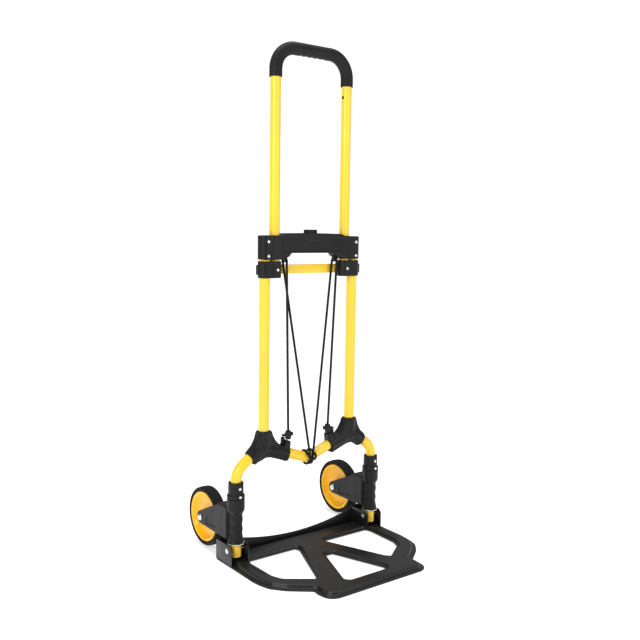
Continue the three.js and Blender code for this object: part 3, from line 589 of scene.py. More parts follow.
baseTube = swept("base_tube_bent", baseRun(legs["bottom"]), tubes["radius"], yellowPaint,
                 wall=tubes["wall"])
combine(baseTube, "DIFFERENCE", [
    rod("x", tubes["pinHole"], *sorted((sign * hinge["holeFrom"], sign * hinge["holeTo"])), (0, hinge["z"]))
    for sign in sides.values()], "EXACT")
fitted(smooth(baseTube), yellowPaint, "frame", "yellow_paint", "base_tube")

for side, sign in sides.items():
    tube = swept("frame_tube" + side, upright([
        (sign * tubes["x"], tubes["bottom"]), (sign * tubes["x"], tubes["top"])]),
        tubes["radius"], yellowPaint, wall=tubes["wall"])
    fitted(smooth(tube), yellowPaint, "frame", "yellow_paint", "frame_tube_" + side.lower())

handleHalf = [(tubes["handleX"], tubes["handleBottom"]), (tubes["handleX"], tubes["handleTop"])]
handleRun = mirroredPoints(handleHalf) + handleHalf[::-1]
handleTube = swept("handle_tube_bent", bent(upright(handleRun), tubes["handleBend"], tubes["handleSteps"]),
                   tubes["handleRadius"], yellowPaint, wall=tubes["wall"])
inner = tubes["handleX"] - tubes["handleRadius"]
combine(handleTube, "DIFFERENCE", [
    rod("x", tubes["lockHole"], *sorted((sign * (inner - 4), sign * (inner + 7))), (0, z), 32)
    for sign in sides.values() for z in tubes["lockHoleZ"]], "EXACT")
fitted(smooth(handleTube), yellowPaint, "handle", "yellow_paint", "handle_tube")
print("tubes ready")

# grip: a foam sleeve over the bend, with shallow finger grooves under the top run
grip = {
    "radius": 13, "wall": 2.1, "bottom": 975, "fingers": 5, "pitch": 14, "groove": 1.3, "fade": 7,
    "cornerSteps": 20, "topSteps": 60, "lip": 0.03, "sides": 56,
}


# the sleeve's run, with close points along its top and a short step at each end
def gripRun():
    run = [(x, max(z, grip["bottom"])) for x, z in handleRun]
    path = bent(upright(run), tubes["handleBend"], grip["cornerSteps"])
    level = [index for index, point in enumerate(path) if abs(point[2] - tubes["handleTop"]) < 0.01]
    left, right = path[level[0]], path[level[-1]]
    between = [left.lerp(right, step / grip["topSteps"]) for step in range(1, grip["topSteps"])]
    path = path[:level[0] + 1] + between + path[level[-1]:]
    lips = path[0].lerp(path[1], grip["lip"]), path[-1].lerp(path[-2], grip["lip"])
    return [path[0], lips[0], *path[1:-1], lips[1], path[-1]]


gripPiece = swept("foam_grip", gripRun(), grip["radius"], foam, grip["sides"])
grooved = (grip["fingers"] / 2) * grip["pitch"]
for vertex in gripPiece.data.vertices:
    x, below = vertex.co.x / mm, tubes["handleTop"] - vertex.co.z / mm
    if abs(x) < grooved and below > 0:
        wave = 0.5 + 0.5 * math.cos(2 * math.pi * x / grip["pitch"])
        fade = min(1.0, (grooved - abs(x)) / grip["fade"])
        vertex.co.z += grip["groove"] * wave * fade * (below / grip["radius"]) ** 2 * mm
fitted(smooth(walled(gripPiece, grip["wall"]), 50), foam, "handle", "foam_grip", "handle_grip")

# the moulded sockets where the frame tubes meet the base tube; places are from the joint
clearance = 0.35
socket = {
    "top": 267, "radius": 15.2, "legRadius": 16.4, "web": 24, "lug": 6, "jointZ": 230,
    "outline": [(-15, 36), (14, 36), (18.5, 20), (26, 7), (40, -6), (31, -28), (12, -24), (0, -19),
                (-12, -20), (-32, -27), (-52, -35), (-58, -31), (-63, 8), (-51, 10), (-47, -1),
                (-36, 3), (-25, 14), (-18, 26)],
    "lugOutline": [(-51, 17), (-44, 17), (-43, -4), (-51, -4)],
    "innerSleeve": [(-4, -2), (-57, -19.5)], "outerSleeve": (27, -18),
    "eyes": [(-46.8, 0.5), (-46.8, 11)], "eyeRadius": 2.1, "eyeReach": 9,
}


# a rod between two points in the plane of the tubes
def sleeve(start, end, radius):
    first, last = Vector((start[0], 0, start[1])), Vector((end[0], 0, end[1]))
    shape = rod("z", radius, 0, (last - first).length, (0, 0))
    turn = Vector((0, 0, 1)).rotation_difference(last - first).to_matrix().to_4x4()
    shape.transform(Matrix.Translation(first) @ turn)
    return shape


# the base tube's own run, as a solid to cut sockets with
def baseBore(radius):
    tool = swept("bore", baseRun(legs["bottom"] + 60), radius, yellowPaint, capped=True)
    shape = mergedShape(tool)
    shape.transform(toFrame.inverted())
    removed(tool)
    return shape


def makeSocket(side, sign):
    def placed(points):
        return [(sign * (tubes["x"] + dx), socket["jointZ"] + dz) for dx, dz in points]

    half, x, jointZ = socket["web"] / 2, sign * tubes["x"], socket["jointZ"]
    dx, dz = socket["outerSleeve"]
    body = carved("y_socket" + side, [
        slab(placed(socket["outline"]), -half, half, "y", 4.0, 3.0),
        rod("z", socket["radius"], jointZ - 10, socket["top"], (x, 0)),
        sleeve((sign * legs["peakX"], jointZ), (sign * (legs["peakX"] + dx), jointZ + dz),
               socket["legRadius"]),
        sleeve(*placed(socket["innerSleeve"]), socket["radius"])])
    body = moulded(body, 1.2, 14)
    lug = slab(placed(socket["lugOutline"]), -socket["lug"] / 2, socket["lug"] / 2, "y", 0.9, 2.0)
    seat = rod("z", tubes["radius"] + clearance, jointZ, socket["top"] + 5, (x, 0))
    eyes = [rod("y", socket["eyeRadius"], -socket["eyeReach"], socket["eyeReach"], eye, 24)
            for eye in placed(socket["eyes"])]
    combine(body, "UNION", [lug])
    combine(body, "DIFFERENCE", [baseBore(tubes["radius"] + clearance), seat, *eyes])
    fitted(smooth(body), blackMoulding, "frame", "black_plastic", "y_socket_" + side.lower())


for side, sign in sides.items():
    makeSocket(side, sign)
print("sockets ready")

# the latch bridge: one whole moulding, cut into a front and a rear shell
bridge = {
    "bottom": 615.8, "endTop": 664, "midTop": 670, "half": 14.5, "wall": 2.6, "inset": 1.2,
    "archHalf": 56, "archCorner": 63, "archTop": 629, "archCornerTop": 621.5, "archFoot": 78.5,
    "crownHalf": 70, "crownFoot": 82, "panelHalf": 79, "panelTop": 662, "hollowHalf": 74,
    "tabX": 64.5, "tabHalf": 6, "tabDepth": 3, "tabBottom": 610, "tabTop": 632,
    "eyeZ": 617, "eyeRadius": 3.4, "grooveX": 101, "grooveDepth": 0.9,
    "housingHalf": 16, "housingTop": 668.5, "seam": 0.15,
}
button = {"half": 13.5, "depth": 7, "low": 655, "pad": 666, "top": 677,
          "stemHalf": 6, "stemDepth": 4, "stemLow": 643, "ribs": (-8, -4, 0, 4, 8)}


def stadiumOutline(reach, radius, steps=20):
    arcs = []
    for sign in (1, -1):
        for step in range(steps + 1):
            angle = -math.pi / 2 + math.pi * step / steps
            arcs.append((sign * (reach + radius * math.cos(angle)), sign * radius * math.sin(angle)))
    return arcs


def bridgeOutline():
    end = tubes["x"] + bridge["half"]
    lower = [(bridge["archHalf"], bridge["archTop"]), (bridge["archCorner"], bridge["archCornerTop"]),
             (bridge["archFoot"], bridge["bottom"]), (end, bridge["bottom"])]
    upper = [(end, bridge["endTop"]), (bridge["crownFoot"], bridge["endTop"] + 1),
             (bridge["crownHalf"], bridge["midTop"] - 1)]
    return (mirroredPoints(lower)[::-1] + lower + upper + [(0, bridge["midTop"])]
            + mirroredPoints(upper)[::-1])


# the part of the bridge between two depths
def bridgeShell(name, low, high):
    front, panel, tabX = -bridge["half"], bridge["panelHalf"], bridge["tabX"]
    tabs = [softBlock(sign * tabX - bridge["tabHalf"], sign * tabX + bridge["tabHalf"],
                      -bridge["tabDepth"], bridge["tabDepth"], bridge["tabBottom"], bridge["tabTop"], 0.8, 2)
            for sign in sides.values()]
    stadium = stacked([[(x, y, z) for x, y in stadiumOutline(tubes["x"], bridge["half"])]
                       for z in (560, 720)])
    body = carved(name, [slab(bridgeOutline(), front, bridge["half"], "y", 0.2, 4.0)], within=[stadium])
    panelRecess = slab([(-panel, bridge["archTop"] + 2), (panel, bridge["archTop"] + 2),
                        (panel, bridge["panelTop"]), (-panel, bridge["panelTop"])],
                       front - 4, front + bridge["inset"], "y", 0.5, 3.0)
    hollows = [
        block(-bridge["hollowHalf"], bridge["hollowHalf"], front + bridge["wall"],
              bridge["half"] - bridge["wall"], bridge["archTop"] + 3, bridge["midTop"] - 4),
        block(-button["half"] - 0.5, button["half"] + 0.5, -button["depth"] - 0.5, button["depth"] + 0.5,
              button["low"], 700)]
    for sign in sides.values():
        groove = sign * bridge["grooveX"]
        hollows += [
            rod("z", tubes["radius"] + clearance, 600, tubes["top"] + 0.3, (sign * tubes["x"], 0)),
            rod("z", tubes["handleRadius"] + 0.5, 600, 700, (sign * tubes["handleX"], 0)),
            rod("y", bridge["eyeRadius"], -9, 9, (sign * tabX, bridge["eyeZ"]), 32),
            slab([(groove - 1.0, 600), (groove + 1.0, 600), (groove + 1.0, 700), (groove - 1.0, 700)],
                 front - 3, front + bridge["grooveDepth"], "y", 0.2, 0.3)]
    housing = softBlock(-bridge["housingHalf"], bridge["housingHalf"], front + 0.1, front + 5,
                        button["low"], bridge["housingTop"], 0.8, 1.2)
    combine(body, "UNION", tabs)
    combine(body, "DIFFERENCE", [panelRecess])
    combine(body, "UNION", [housing])
    combine(body, "DIFFERENCE", hollows)
    return combine(body, "INTERSECT", [block(-200, 200, low, high, 500, 800)])


for name, low, high in (("bridge_front", -30, -bridge["seam"]), ("bridge_rear", bridge["seam"], 30)):
    shell = moulded(bridgeShell(name, low, high), 0.8, 3)
    fitted(smooth(shell, 60), blackMoulding, "frame", "black_plastic", name + "_shell")

half, depth = button["half"], button["depth"]
stemHalf, stemDepth = button["stemHalf"], button["stemDepth"]
pad = carved("push_button", [
    softBlock(-half, half, -depth, depth, button["pad"], button["top"], 1.6, 2.5),
    softBlock(-stemHalf, stemHalf, -stemDepth, stemDepth, button["stemLow"], button["pad"] + 2, 0.4, 0.6)],
    [softBlock(x - 0.6, x + 0.6, -5, 5, button["top"] - 0.6, button["top"] + 3, 0.2, 0.4)
     for x in button["ribs"]])
fitted(smooth(pad), blackMoulding, "release_button", "black_plastic", "release_button")
print("bridge ready")

# the slide blocks that join the handle to the frame tubes, and the flat bar between them
slide = {"bottom": 579, "top": 613, "radius": 14.2, "lug": 18.2, "lugDepth": 6, "lugHalf": 10,
         "rivetZ": 595.5, "floor": 2.7, "flute": 0.9, "fluteHalf": 1.2, "fluteFrom": 583, "fluteTo": 608}
bar = {"half": 97.7, "near": 11.2, "far": 14.2, "bottom": 586, "top": 605, "gap": 0.3}


def makeSlideBlock(side, sign):
    reach = (tubes["x"] - tubes["handleX"]) / 2
    middle = sign * (tubes["x"] + tubes["handleX"]) / 2
    radius, bottom, top, gap = slide["radius"], slide["bottom"], slide["top"], bar["gap"]
    outline = [(x + middle, y) for x, y in stadiumOutline(reach, radius)]
    levels = [(0.93, bottom), (1.0, bottom + 1.6), (1.0, top - 1.0), (0.96, top)]
    whole = stacked([[(middle + (x - middle) * (1 - (1 - size) * 0.5), y * size, z) for x, y in outline]
                     for size, z in levels])
    lug = softBlock(*sorted((sign * tubes["x"], sign * (tubes["x"] + slide["lug"]))),
                    -slide["lugDepth"], slide["lugDepth"], slide["rivetZ"] - slide["lugHalf"],
                    slide["rivetZ"] + slide["lugHalf"], 1.2, 2.2)
    flutes = [block(middle - slide["fluteHalf"], middle + slide["fluteHalf"], low, high,
                    slide["fluteFrom"], slide["fluteTo"])
              for low, high in ((-20, -radius + slide["flute"]), (radius - slide["flute"], 20))]
    body = carved("slide_block" + side, [whole, lug], [
        rod("z", tubes["radius"] + 0.5, 570, 620, (sign * tubes["x"], 0)),
        rod("z", tubes["handleRadius"] + clearance, bottom + slide["floor"], 620,
            (sign * tubes["handleX"], 0)),
        *flutes,
        block(-bar["half"] - 0.4, bar["half"] + 0.4, bar["near"] - gap, bar["far"] + gap,
              bar["bottom"] - gap, bar["top"] + gap)])
    fitted(smooth(moulded(body, 0.6, 3), 60), blackMoulding, "handle", "black_plastic",
           "slide_block_" + side.lower())


for side, sign in sides.items():
    makeSlideBlock(side, sign)
crossbar = objectFrom("crossbar", slab(
    [(-bar["half"], bar["near"]), (bar["half"], bar["near"]), (bar["half"], bar["far"]),
     (-bar["half"], bar["far"])], bar["bottom"], bar["top"], "z", 0.7, 0.9))
fitted(smooth(crossbar), yellowPaint, "handle", "yellow_paint", "handle_crossbar")
print("slide blocks ready")

# the collar fixed on each leg, and the washer under the bracket that turns below it
collar = {"top": 171, "waist": 147, "bottom": 137.7, "neck": 15.6, "skirt": 18.2,
          "padHalf": 6, "padFrom": 12, "padTo": 16.8, "padLow": 150, "padHigh": 168}
washer = {"bottom": 43, "top": 45, "radius": 17.8, "edge": 0.4}
legBore = tubes["radius"] + clearance


def makeCollar(side, x):
    neck, skirt = collar["neck"], collar["skirt"]
    profile = [(legBore, collar["bottom"]), (skirt - 0.6, collar["bottom"]), (skirt, collar["bottom"] + 0.6),
               (skirt, collar["waist"] - 2.5), (neck, collar["waist"]), (neck, collar["top"] - 1.2),
               (neck - 1.2, collar["top"]), (legBore, collar["top"])]
    pads = [softBlock(x - collar["padHalf"], x + collar["padHalf"], low, high, collar["padLow"],
                      collar["padHigh"], 1.0, 1.6)
            for low, high in ((-collar["padTo"], -collar["padFrom"]), (collar["padFrom"], collar["padTo"]))]
    body = carved("leg_collar" + side, [turned(profile, "z", (x, 0), 72), *pads],
                  [rod("z", legBore, 100, 200, (x, 0), 72)])
    fitted(smooth(moulded(body, 0.7, 3), 60), blackMoulding, "frame", "black_plastic",
           "leg_collar_" + side.lower())


def makeWasher(side, x):
    bottom, top, radius, edge = (washer[key] for key in ("bottom", "top", "radius", "edge"))
    ring = turned([(legBore, bottom), (radius - edge, bottom), (radius, bottom + edge), (radius, top - edge),
                   (radius - edge, top), (legBore, top)], "z", (x, 0), 72)
    fitted(smooth(objectFrom("thrust_washer" + side, ring)), brightSteel, "frame", "bright_steel",
           "thrust_washer_" + side.lower())


# the bracket: a barrel that turns on the leg, and a fork of two plates for the wheel
bracket = {
    "top": 137.4, "bottom": 46, "rootFront": 6, "rootBack": 44, "rootTop": 119, "rootBottom": 53,
    "half": 19, "plate": 3.4, "tip": 14, "tipSteps": 16, "boss": 8.4, "axleHole": 4.3,
    # radius and height above the bottom: the barrel waves in and out, and its head is wider
    "barrel": [(0, 0), (15.8, 0), (16.2, 0.6), (16.2, 3.5), (15.3, 7), (14.2, 12), (13.3, 19), (14.4, 27),
               (13.3, 35), (13.2, 38), (14.5, 47), (13.4, 56), (13.9, 60), (17.4, 66), (18.2, 69)],
    "recessDepth": 1.3, "grooveDepth": 0.7, "grooveFrom": 24, "grooveTo": 26,
}


def makeBracket(side, x):
    top, back, half, plate = (bracket[key] for key in ("top", "rootBack", "half", "plate"))
    rootTop, rootBottom = bracket["rootTop"], bracket["rootBottom"]
    axleY, axleZ = wheel["y"], wheel["z"]
    barrel = [(radius, bracket["bottom"] + rise) for radius, rise in bracket["barrel"]]
    barrel += [(18.2, top - 0.6), (17.6, top), (0, top)]
    angles = [-math.pi / 2 + (math.pi - 0.25) * step / bracket["tipSteps"]
              for step in range(bracket["tipSteps"] + 1)]
    tip = [(axleY + bracket["tip"] * math.cos(angle), axleZ + bracket["tip"] * math.sin(angle))
           for angle in angles]
    arm = [(back - 6, rootBottom)] + tip + [(back - 6, rootTop - 1)]
    recess = [(back + 4, rootBottom + 11), (axleY - 24, axleZ - 7.5), (axleY - 24, axleZ + 6.5),
              (back + 4, rootTop - 12)]
    solids = [
        turned(barrel, "z", (x, 0), 72),
        softBlock(x - half, x + half, bracket["rootFront"], back, rootBottom, rootTop, 1.5, 2.0),
        softBlock(x - half + 4, x + half - 4, 2, 16, rootTop - 8, rootTop + 9, 1.5, 2.0)]
    hollows = [
        rod("z", tubes["radius"] + 0.5, 30, 200, (x, 0), 72),
        block(x - half + plate, x + half - plate, 19, 60, 40, rootTop - 4),
        rod("x", bracket["axleHole"], x - 30, x + 30, (axleY, axleZ), 32)]
    for face in (-1, 1):
        def across(near, far):
            return sorted((x + face * (half + near), x + face * (half + far)))

        solids += [slab(arm, *across(0, -plate), "x", 0.7, 0.6, 2),
                   rod("x", bracket["boss"], *across(-1, 0.1), (axleY, axleZ), 40)]
        groove = across(-bracket["grooveDepth"], 4)
        hollows += [slab(recess, *across(-bracket["recessDepth"], 4), "x", 0.3, 3.0),
                    block(*groove, bracket["grooveFrom"], bracket["grooveTo"], rootBottom + 5, rootTop - 5)]
    body = moulded(carved("wheel_bracket" + side, solids, hollows), 0.9, 3)
    fitted(smooth(body, 60), blackMoulding, "bracket_" + side.lower(), "black_plastic",
           "wheel_bracket_" + side.lower())


# half sections of the wheel, as radius and distance from its middle
tyreHalf = [(wheel["bead"], 10), (55, 11.6), (57, 12.6), (59.3, 12.7), (60.6, 12.0), (61.5, 10.7),
            (61.9, 9.4), (61.5, 9.1), (61.9, 8.8), (62.25, 6), (62.5, 3)]
rimHalf = [(wheel["bore"], 14), (9.6, 14), (10.4, 13.2), (11.2, 9), (13, 5.0), (16.5, 2.6),
           (22, 1.6), (30, 1.5), (36, 2.1), (41, 3.8), (44.6, 6.4), (46.8, 9.4), (47.6, 11.0),
           (48.4, 11.3), (49.0, 11.9), (50.2, 12.4), (51.6, 12.3), (52.5, 11.4), (52.7, 9.5)]
axleCentre = (wheel["y"], wheel["z"])


# a ring of the wheel, alike on both sides
def makeRing(name, side, x, half, material, slot, crease):
    profile = [(radius, x - along) for radius, along in half]
    profile += [(radius, x + along) for radius, along in reversed(half)]
    piece = objectFrom(name + side, turned(profile, "x", axleCentre, wheel["segments"]))
    fitted(smooth(piece, crease), material, "wheel_" + side.lower(), slot, name + "_" + side.lower())


# a pin across x with a turned head at each end; its section is radius and height
def makePin(name, side, x, pin, centre, body):
    parts = [rod("x", pin["radius"], x - pin["shank"], x + pin["shank"], centre, 32)]
    for face in (-1, 1):
        base = x + face * pin["reach"]
        parts.append(turned([(radius, base + face * rise) for radius, rise in pin["head"]], "x", centre, 40))
    fitted(smooth(joined(name + side, parts)), brightSteel, body, "bright_steel", name + "_" + side.lower())


axle = {"radius": 4, "shank": 19, "reach": 19.2,
        "head": [(0, 0), (6.6, 0), (6.9, 0.4), (6.7, 1.5), (5.9, 2.5), (4.2, 3.2), (2.0, 3.5), (0, 3.6)]}
hingePin = {"radius": hinge["radius"], "shank": hinge["reach"], "reach": hinge["reach"],
            "head": [(0, 0), (5.3, 0), (5.5, 0.3), (5.0, 0.7), (3.3, 0.75), (3.1, 1.2), (2.2, 1.5),
                     (1.2, 1.5), (0.9, 1.1), (0, 1.1)]}

for side, sign in sides.items():
    x = sign * legs["x"]
    makeCollar(side, x)
    makeWasher(side, x)
    makeBracket(side, x)
    makeRing("tyre", side, x, tyreHalf, tyreRubber, "tyre", 35)
    makeRing("wheel_rim", side, x, rimHalf, wheelPlastic, "orange_rim", 40)
    makePin("axle_bolt", side, x, axle, axleCentre, "bracket_" + side.lower())
    makePin("hinge_pin", side, x, hingePin, (0, hinge["z"]), "toe_plate")
print("wheels ready")

# rivets: one domed head, set on points at the front and the back of each hole
rivetHead = [(0, -0.6), (2.6, -0.6), (2.9, 0.0), (3.1, 0.15), (2.9, 0.6), (2.3, 1.0), (1.3, 1.25),
             (0.9, 1.28), (0.75, 0.95), (0, 0.9)]
head = turned(rivetHead, "z", (0, 0), 28)
bmesh.ops.recalc_face_normals(head, faces=head.faces[:])
head.transform(Matrix.Diagonal((mm, mm, mm, 1)))
headThing = smooth(meshed("rivetHead", head))


def riveted(name, places, body, nodes):
    mesh = bpy.data.meshes.new(name)
    spots = [(x, face * reach, z) for x, reach, z in places for face in (-1, 1)]
    mesh.from_pydata([toFrame @ Vector(spot) for spot in spots], [], [])
    facing = mesh.attributes.new("facing", "FLOAT_VECTOR", "POINT")
    for index, spot in enumerate(spots):
        facing.data[index].vector = (0, math.copysign(1, spot[1]), 0)
    thing = added(name, mesh)
    heads = thing.modifiers.new("heads", "NODES")
    heads.node_group = headNodes
    heads[headKeys["Head"]] = headThing
    heads[headKeys["Finish"]] = brightSteel
    fitted(settled(thing), brightSteel, body, "bright_steel", *nodes)


def bothSides(stem):
    return [f"{stem}_{side.lower()}" for side in sides]


riveted("bridge_rivets", [(sign * tubes["x"], bridge["half"] + 0.1, z)
                          for sign in sides.values() for z in (623.2, 652)],
        "frame", bothSides("bridge_rivet_lower") + bothSides("bridge_rivet_upper"))
riveted("slide_block_rivets", [(sign * tubes["handleX"], slide["radius"] + 0.1, slide["rivetZ"])
                               for sign in sides.values()],
        "handle", bothSides("slide_block_rivet"))
riveted("collar_rivets", [(sign * legs["x"], reach, z) for sign in sides.values()
                          for reach, z in ((collar["padTo"], 159), (collar["skirt"], 142.5))],
        "frame", bothSides("collar_rivet_lower") + bothSides("collar_rivet_upper"))
removed(headThing)

# elastic cord: hook, eye, once round the base tube, and the same again on the other side
cord = {"radius": 2.5, "turnRadius": 14.7, "middle": 194.7, "pitch": 6.1, "steps": 28, "bend": 4.5}
turn = []
for step in range(cord["steps"] * 7 // 8 + 1):
    part = step / cord["steps"]
    angle = 2 * math.pi * part
    turn.append((cord["pitch"] * (0.5 + part), -cord["turnRadius"] * math.cos(angle),
                 cord["middle"] - cord["turnRadius"] * math.sin(angle)))
cordHalf = [(52, -1.5, 255), (64.5, -8, 617), (64.5, 8, 617), *turn,
            (1.5 * cord["pitch"], -cord["turnRadius"] - 0.5 * cord["pitch"], cord["middle"] + 6),
            (0.9 * cord["pitch"], -cord["turnRadius"] - 1.1 * cord["pitch"], cord["middle"] - 1)]
route = [(-x, y, z) for x, y, z in cordHalf] + cordHalf[::-1]
cordPiece = swept("elastic_cord_braid", bent(route, cord["bend"], 7), cord["radius"], elasticBraid, 24, True)
fitted(smooth(cordPiece, 60), elasticBraid, "frame", "elastic", "elastic_cord")

hook = {
    "x": 52, "y": -1.5, "z": 250, "front": -6, "back": 3,
    "outline": [(-4, 9), (4, 9), (6, 3), (15, 1.5), (15, -1.5), (6, -2), (5, -9.6), (-4, -10.2),
                (-6, -2), (-10, -3), (-11, 4), (-8, 6), (-6, 2)],
    # the ferrule round the cord's end: radius and height above the middle
    "ferrule": [(0, 1), (5.2, 1), (5.6, 2), (5.6, 4), (4.8, 5), (4.8, 6.5), (5.4, 7.5), (4.6, 9), (0, 9)],
}
for side, sign in sides.items():
    outline = [(sign * (hook["x"] + dx), hook["z"] + dz) for dx, dz in hook["outline"]]
    ferrule = [(radius, hook["z"] + rise) for radius, rise in hook["ferrule"]]
    body = carved("cord_hook" + side, [
        slab(outline, hook["front"], hook["back"], "y", 1.0, 1.4),
        turned(ferrule, "z", (sign * hook["x"], hook["y"]), 32)])
    fitted(smooth(moulded(body, 0.5, 4), 60), blackMoulding, "frame", "black_plastic",
           "cord_hook_" + side.lower())
print("cord ready")

# toe plate: a pressed sheet with a low flange, stepped openings and shallow swages
toe = {
    "deck": 9.5, "sheet": 2.3, "rear": 44, "restDepth": 2.4,
    "outline": [(199, 41), (199, -97), (196, -120), (189, -142), (169, -166), (145, -185), (126, -199),
                (129, -212), (126, -232), (118, -243), (104, -248)],
    "radii": [2, 30, 30, 24, 30, 30, 9, 16, 14, 14, 10],
    "sideHole": [(40, -14), (155, -14), (159, -28), (157, -105), (148, -128), (97, -164), (90, -156),
                 (37, -25)],
    "sideRadii": [4, 7, 8, 14, 14, 4, 4, 4],
    "centreHole": [(9, -80), (52, -196), (46, -205), (-46, -205), (-52, -196), (-9, -80)],
    "centreRadii": [5, 6, 6, 6, 6, 5],
    "swage": [(172.5, -28), (175.5, -28), (173.5, -100), (170.5, -100)],
    # sections of the sheet's edges: outwards from the outline, and height
    "edgeSection": [(0, 0.1), (0, 2.0), (-0.2, 2.4), (-0.7, 2.6), (-7.6, 2.6), (-8.5, 2.9), (-9.1, 3.8),
                    (-9.7, 7.8), (-10.3, 8.9), (-11.3, 9.4), (-12.3, 9.5), (-13.3, 9.5)],
    "holeSection": [(0, 1.9), (0, 4.3), (0.2, 4.8), (0.7, 5.0), (4.6, 5.0), (5.3, 5.2), (5.8, 6.0),
                    (6.3, 8.2), (6.9, 9.1), (7.8, 9.5), (8.8, 9.5)],
    "swageSection": [(1.6, 9.5), (0.8, 9.5), (0.1, 9.2), (-0.5, 8.3), (-1.1, 8.0)],
}


# one edge of the sheet, swept round its outline; a swage has a floor as well
def pressedEdge(shape, outline, radii, section, floored=False):
    rings = []
    for outwards, height in section:
        ring = ringOf(outline, outwards, radii, 6)
        rings.append([shape.verts.new((point[0], point[1], height)) for point in ring])
    skin(shape, rings, False)
    if floored:
        shape.faces.new(rings[-1])


def pressedSheet():
    shape = bmesh.new()
    half, radii = toe["outline"], toe["radii"]
    sideHole, sideRadii = toe["sideHole"], toe["sideRadii"]
    pressedEdge(shape, half + mirroredPoints(half)[::-1], radii + radii[::-1], toe["edgeSection"])
    pressedEdge(shape, sideHole, sideRadii, toe["holeSection"])
    pressedEdge(shape, mirroredPoints(sideHole)[::-1], sideRadii[::-1], toe["holeSection"])
    pressedEdge(shape, toe["centreHole"], toe["centreRadii"], toe["holeSection"])
    for sign in sides.values():
        swage = [(sign * x, y) for x, y in toe["swage"]]
        pressedEdge(shape, swage, 1.4, toe["swageSection"], True)
    bmesh.ops.remove_doubles(shape, verts=shape.verts[:], dist=0.001)
    edges = [edge for edge in shape.edges if len(edge.link_faces) == 1
             and all(abs(vertex.co.z - toe["deck"]) < 0.01 for vertex in edge.verts)]
    bmesh.ops.triangle_fill(shape, use_beauty=True, use_dissolve=False, edges=edges)
    bmesh.ops.recalc_face_normals(shape, faces=shape.faces[:])
    # the wall is added downwards, so the open sheet has to face up
    if sum(face.normal.z * face.calc_area() for face in shape.faces) < 0:
        bmesh.ops.reverse_faces(shape, faces=shape.faces[:])
    shape.transform(toFrame)
    thing = meshed("sheet", shape)
    thick = thing.modifiers.new("wall", "SOLIDIFY")
    thick.thickness, thick.offset, thick.use_even_offset = toe["sheet"] * mm, -1, True
    return settled(thing)


# what stands on the sheet: a rear wall that dips in the middle, and two ears round each leg
ear = {"offset": 18.4, "thickness": 2, "front": -18, "rear": 43, "top": 43, "corner": 7, "base": 1.5}
wall = {"low": 0.5, "shoulder": 36, "mid": 16, "dip": 153.6, "half": 198.4, "end": 4, "steps": 16}


def wallOutline():
    points = [(-wall["half"], wall["low"]), (wall["half"], wall["low"]), (wall["half"], ear["top"]),
              (wall["dip"] + wall["end"], ear["top"])]
    for step in range(2 * wall["steps"] + 1):
        part = 1 - step / wall["steps"]
        points.append((wall["dip"] * part, wall["mid"] + (wall["shoulder"] - wall["mid"]) * part * part))
    return points + [(-wall["dip"] - wall["end"], ear["top"]), (-wall["half"], ear["top"])]


def standing():
    shapes = [slab(wallOutline(), toe["rear"] - toe["restDepth"], toe["rear"], "y", 0.5, 2.0, 3)]
    outline = [(ear["front"], ear["base"]), (ear["rear"], ear["base"]), (ear["rear"], ear["top"]),
               (ear["front"] + ear["corner"], ear["top"]), (ear["front"], ear["top"] - ear["corner"])]
    for sign in sides.values():
        for face in (-1, 1):
            near = sign * legs["x"] + face * ear["offset"]
            ends = sorted((near, near + face * ear["thickness"]))
            shapes.append(slab(outline, *ends, "x", 0.45, 3.0, 4))
    return joined("standing", shapes)


toeShape = bmesh.new()
for part in (pressedSheet(), standing()):
    toeShape.from_mesh(part.data)
    removed(part)
toePiece = meshed("toe_plate_pressed", toeShape)
fitted(smooth(toePiece, 40), blackSteelPaint, "toe_plate", "black_steel", "toe_plate")
print("toe plate ready")

# what stays hidden in the bridge keeps its own shape and takes the plated finish
for name in ("button_spring", "latch_pin_left", "latch_pin_right"):
    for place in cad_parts[name].material_slots:
        place.material = brightSteel

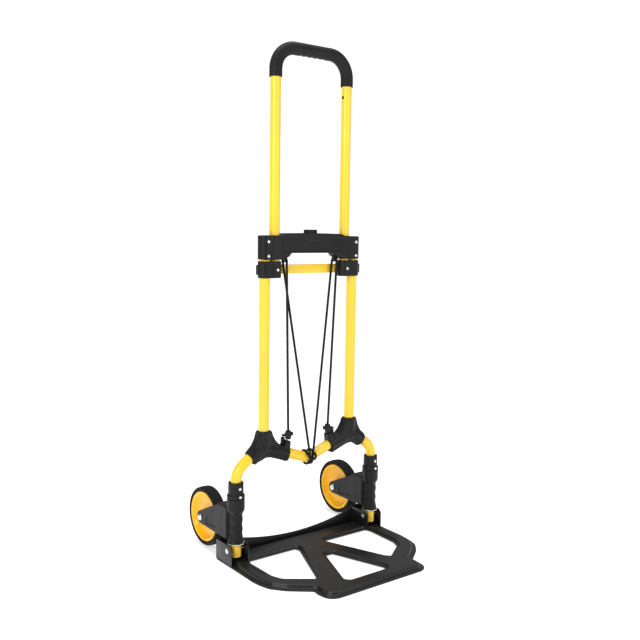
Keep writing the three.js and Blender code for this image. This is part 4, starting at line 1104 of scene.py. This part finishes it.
# the floor is pale paper that glows more the further it is from the object
studio = {"floor": shade(0.93, 0.93, 0.93), "glow": 0.5, "farGlow": 0.8, "glowFrom": 0.9, "glowTo": 3.5,
          "world": 0.36, "backdrop": 1.1, "floorHalf": 30}
shape = bmesh.new()
bmesh.ops.create_grid(shape, x_segments=1, y_segments=1, size=studio["floorHalf"])
floor = meshed("floor", shape)
paper = bpy.data.materials.new("floorPaper")
paper.use_nodes = True
paperSurface = paper.node_tree.nodes["Principled BSDF"].inputs
paperSurface["Base Color"].default_value = studio["floor"]
paperSurface["Roughness"].default_value = 0.9
paperSurface["Emission Strength"].default_value = 1.0
mix = Nodes(paper.node_tree)
spot = mix.add("ShaderNodeTexCoord", output="Object")
away = mix.add("ShaderNodeVectorMath", {"operation": "LENGTH"}, {0: spot}, "Value")
far = mix.step(away, studio["glowFrom"], studio["glowTo"])
glow = mix.blend(far, shade(*[studio["glow"]] * 3), shade(*[studio["farGlow"]] * 3))
paper.node_tree.links.new(glow.socket, paperSurface["Emission Color"])
floor.data.materials.append(paper)

# the camera sees a brighter backdrop than the one that lights the object
bpy.context.scene.view_settings.view_transform = "Standard"
world = bpy.data.worlds.new("studio")
world.use_nodes = True
air = Nodes(world.node_tree)
seen = air.add("ShaderNodeLightPath", output="Is Camera Ray")
backdrop = world.node_tree.nodes["Background"].inputs
backdrop["Color"].default_value = shade(1, 1, 1)
strength = seen * (studio["backdrop"] - studio["world"]) + studio["world"]
world.node_tree.links.new(strength.socket, backdrop["Strength"])
bpy.context.scene.world = world


def softBox(name, place, target, size, power):
    light = bpy.data.lights.new(name, "AREA")
    light.shape, light.size, light.energy = "SQUARE", size, power
    thing = added(name, light)
    thing.location = place
    thing.rotation_euler = (Vector(target) - Vector(place)).to_track_quat("-Z", "Y").to_euler()


softBox("overhead", (0.1, 0.3, 2.9), (0, 0, 0.3), 2.0, 46)
softBox("leftFront", (-2.3, -1.0, 1.5), (0, 0, 0.5), 1.2, 32)
softBox("rightFront", (0.9, -2.4, 1.3), (0, 0, 0.5), 1.0, 14)

view = {"place": (-1.010, -1.333, 0.677), "yaw": 37.18, "pitch": 6.32, "roll": 0.84,
        "lens": 45.84, "sensor": 36}
yaw, pitch, roll = (math.radians(view[key]) for key in ("yaw", "pitch", "roll"))
ahead = Vector((math.sin(yaw) * math.cos(pitch), math.cos(yaw) * math.cos(pitch), -math.sin(pitch)))
level = Vector((math.cos(yaw), -math.sin(yaw), 0))
above = level.cross(ahead)
right = level * math.cos(roll) + above * math.sin(roll)
up = above * math.cos(roll) - level * math.sin(roll)
lens = bpy.data.cameras.new("camera")
lens.lens, lens.sensor_width = view["lens"], view["sensor"]
camera = added("camera", lens)
camera.matrix_world = Matrix.Translation(view["place"]) @ Matrix((right, up, -ahead)).transposed().to_4x4()
bpy.context.scene.camera = camera
print("studio ready")
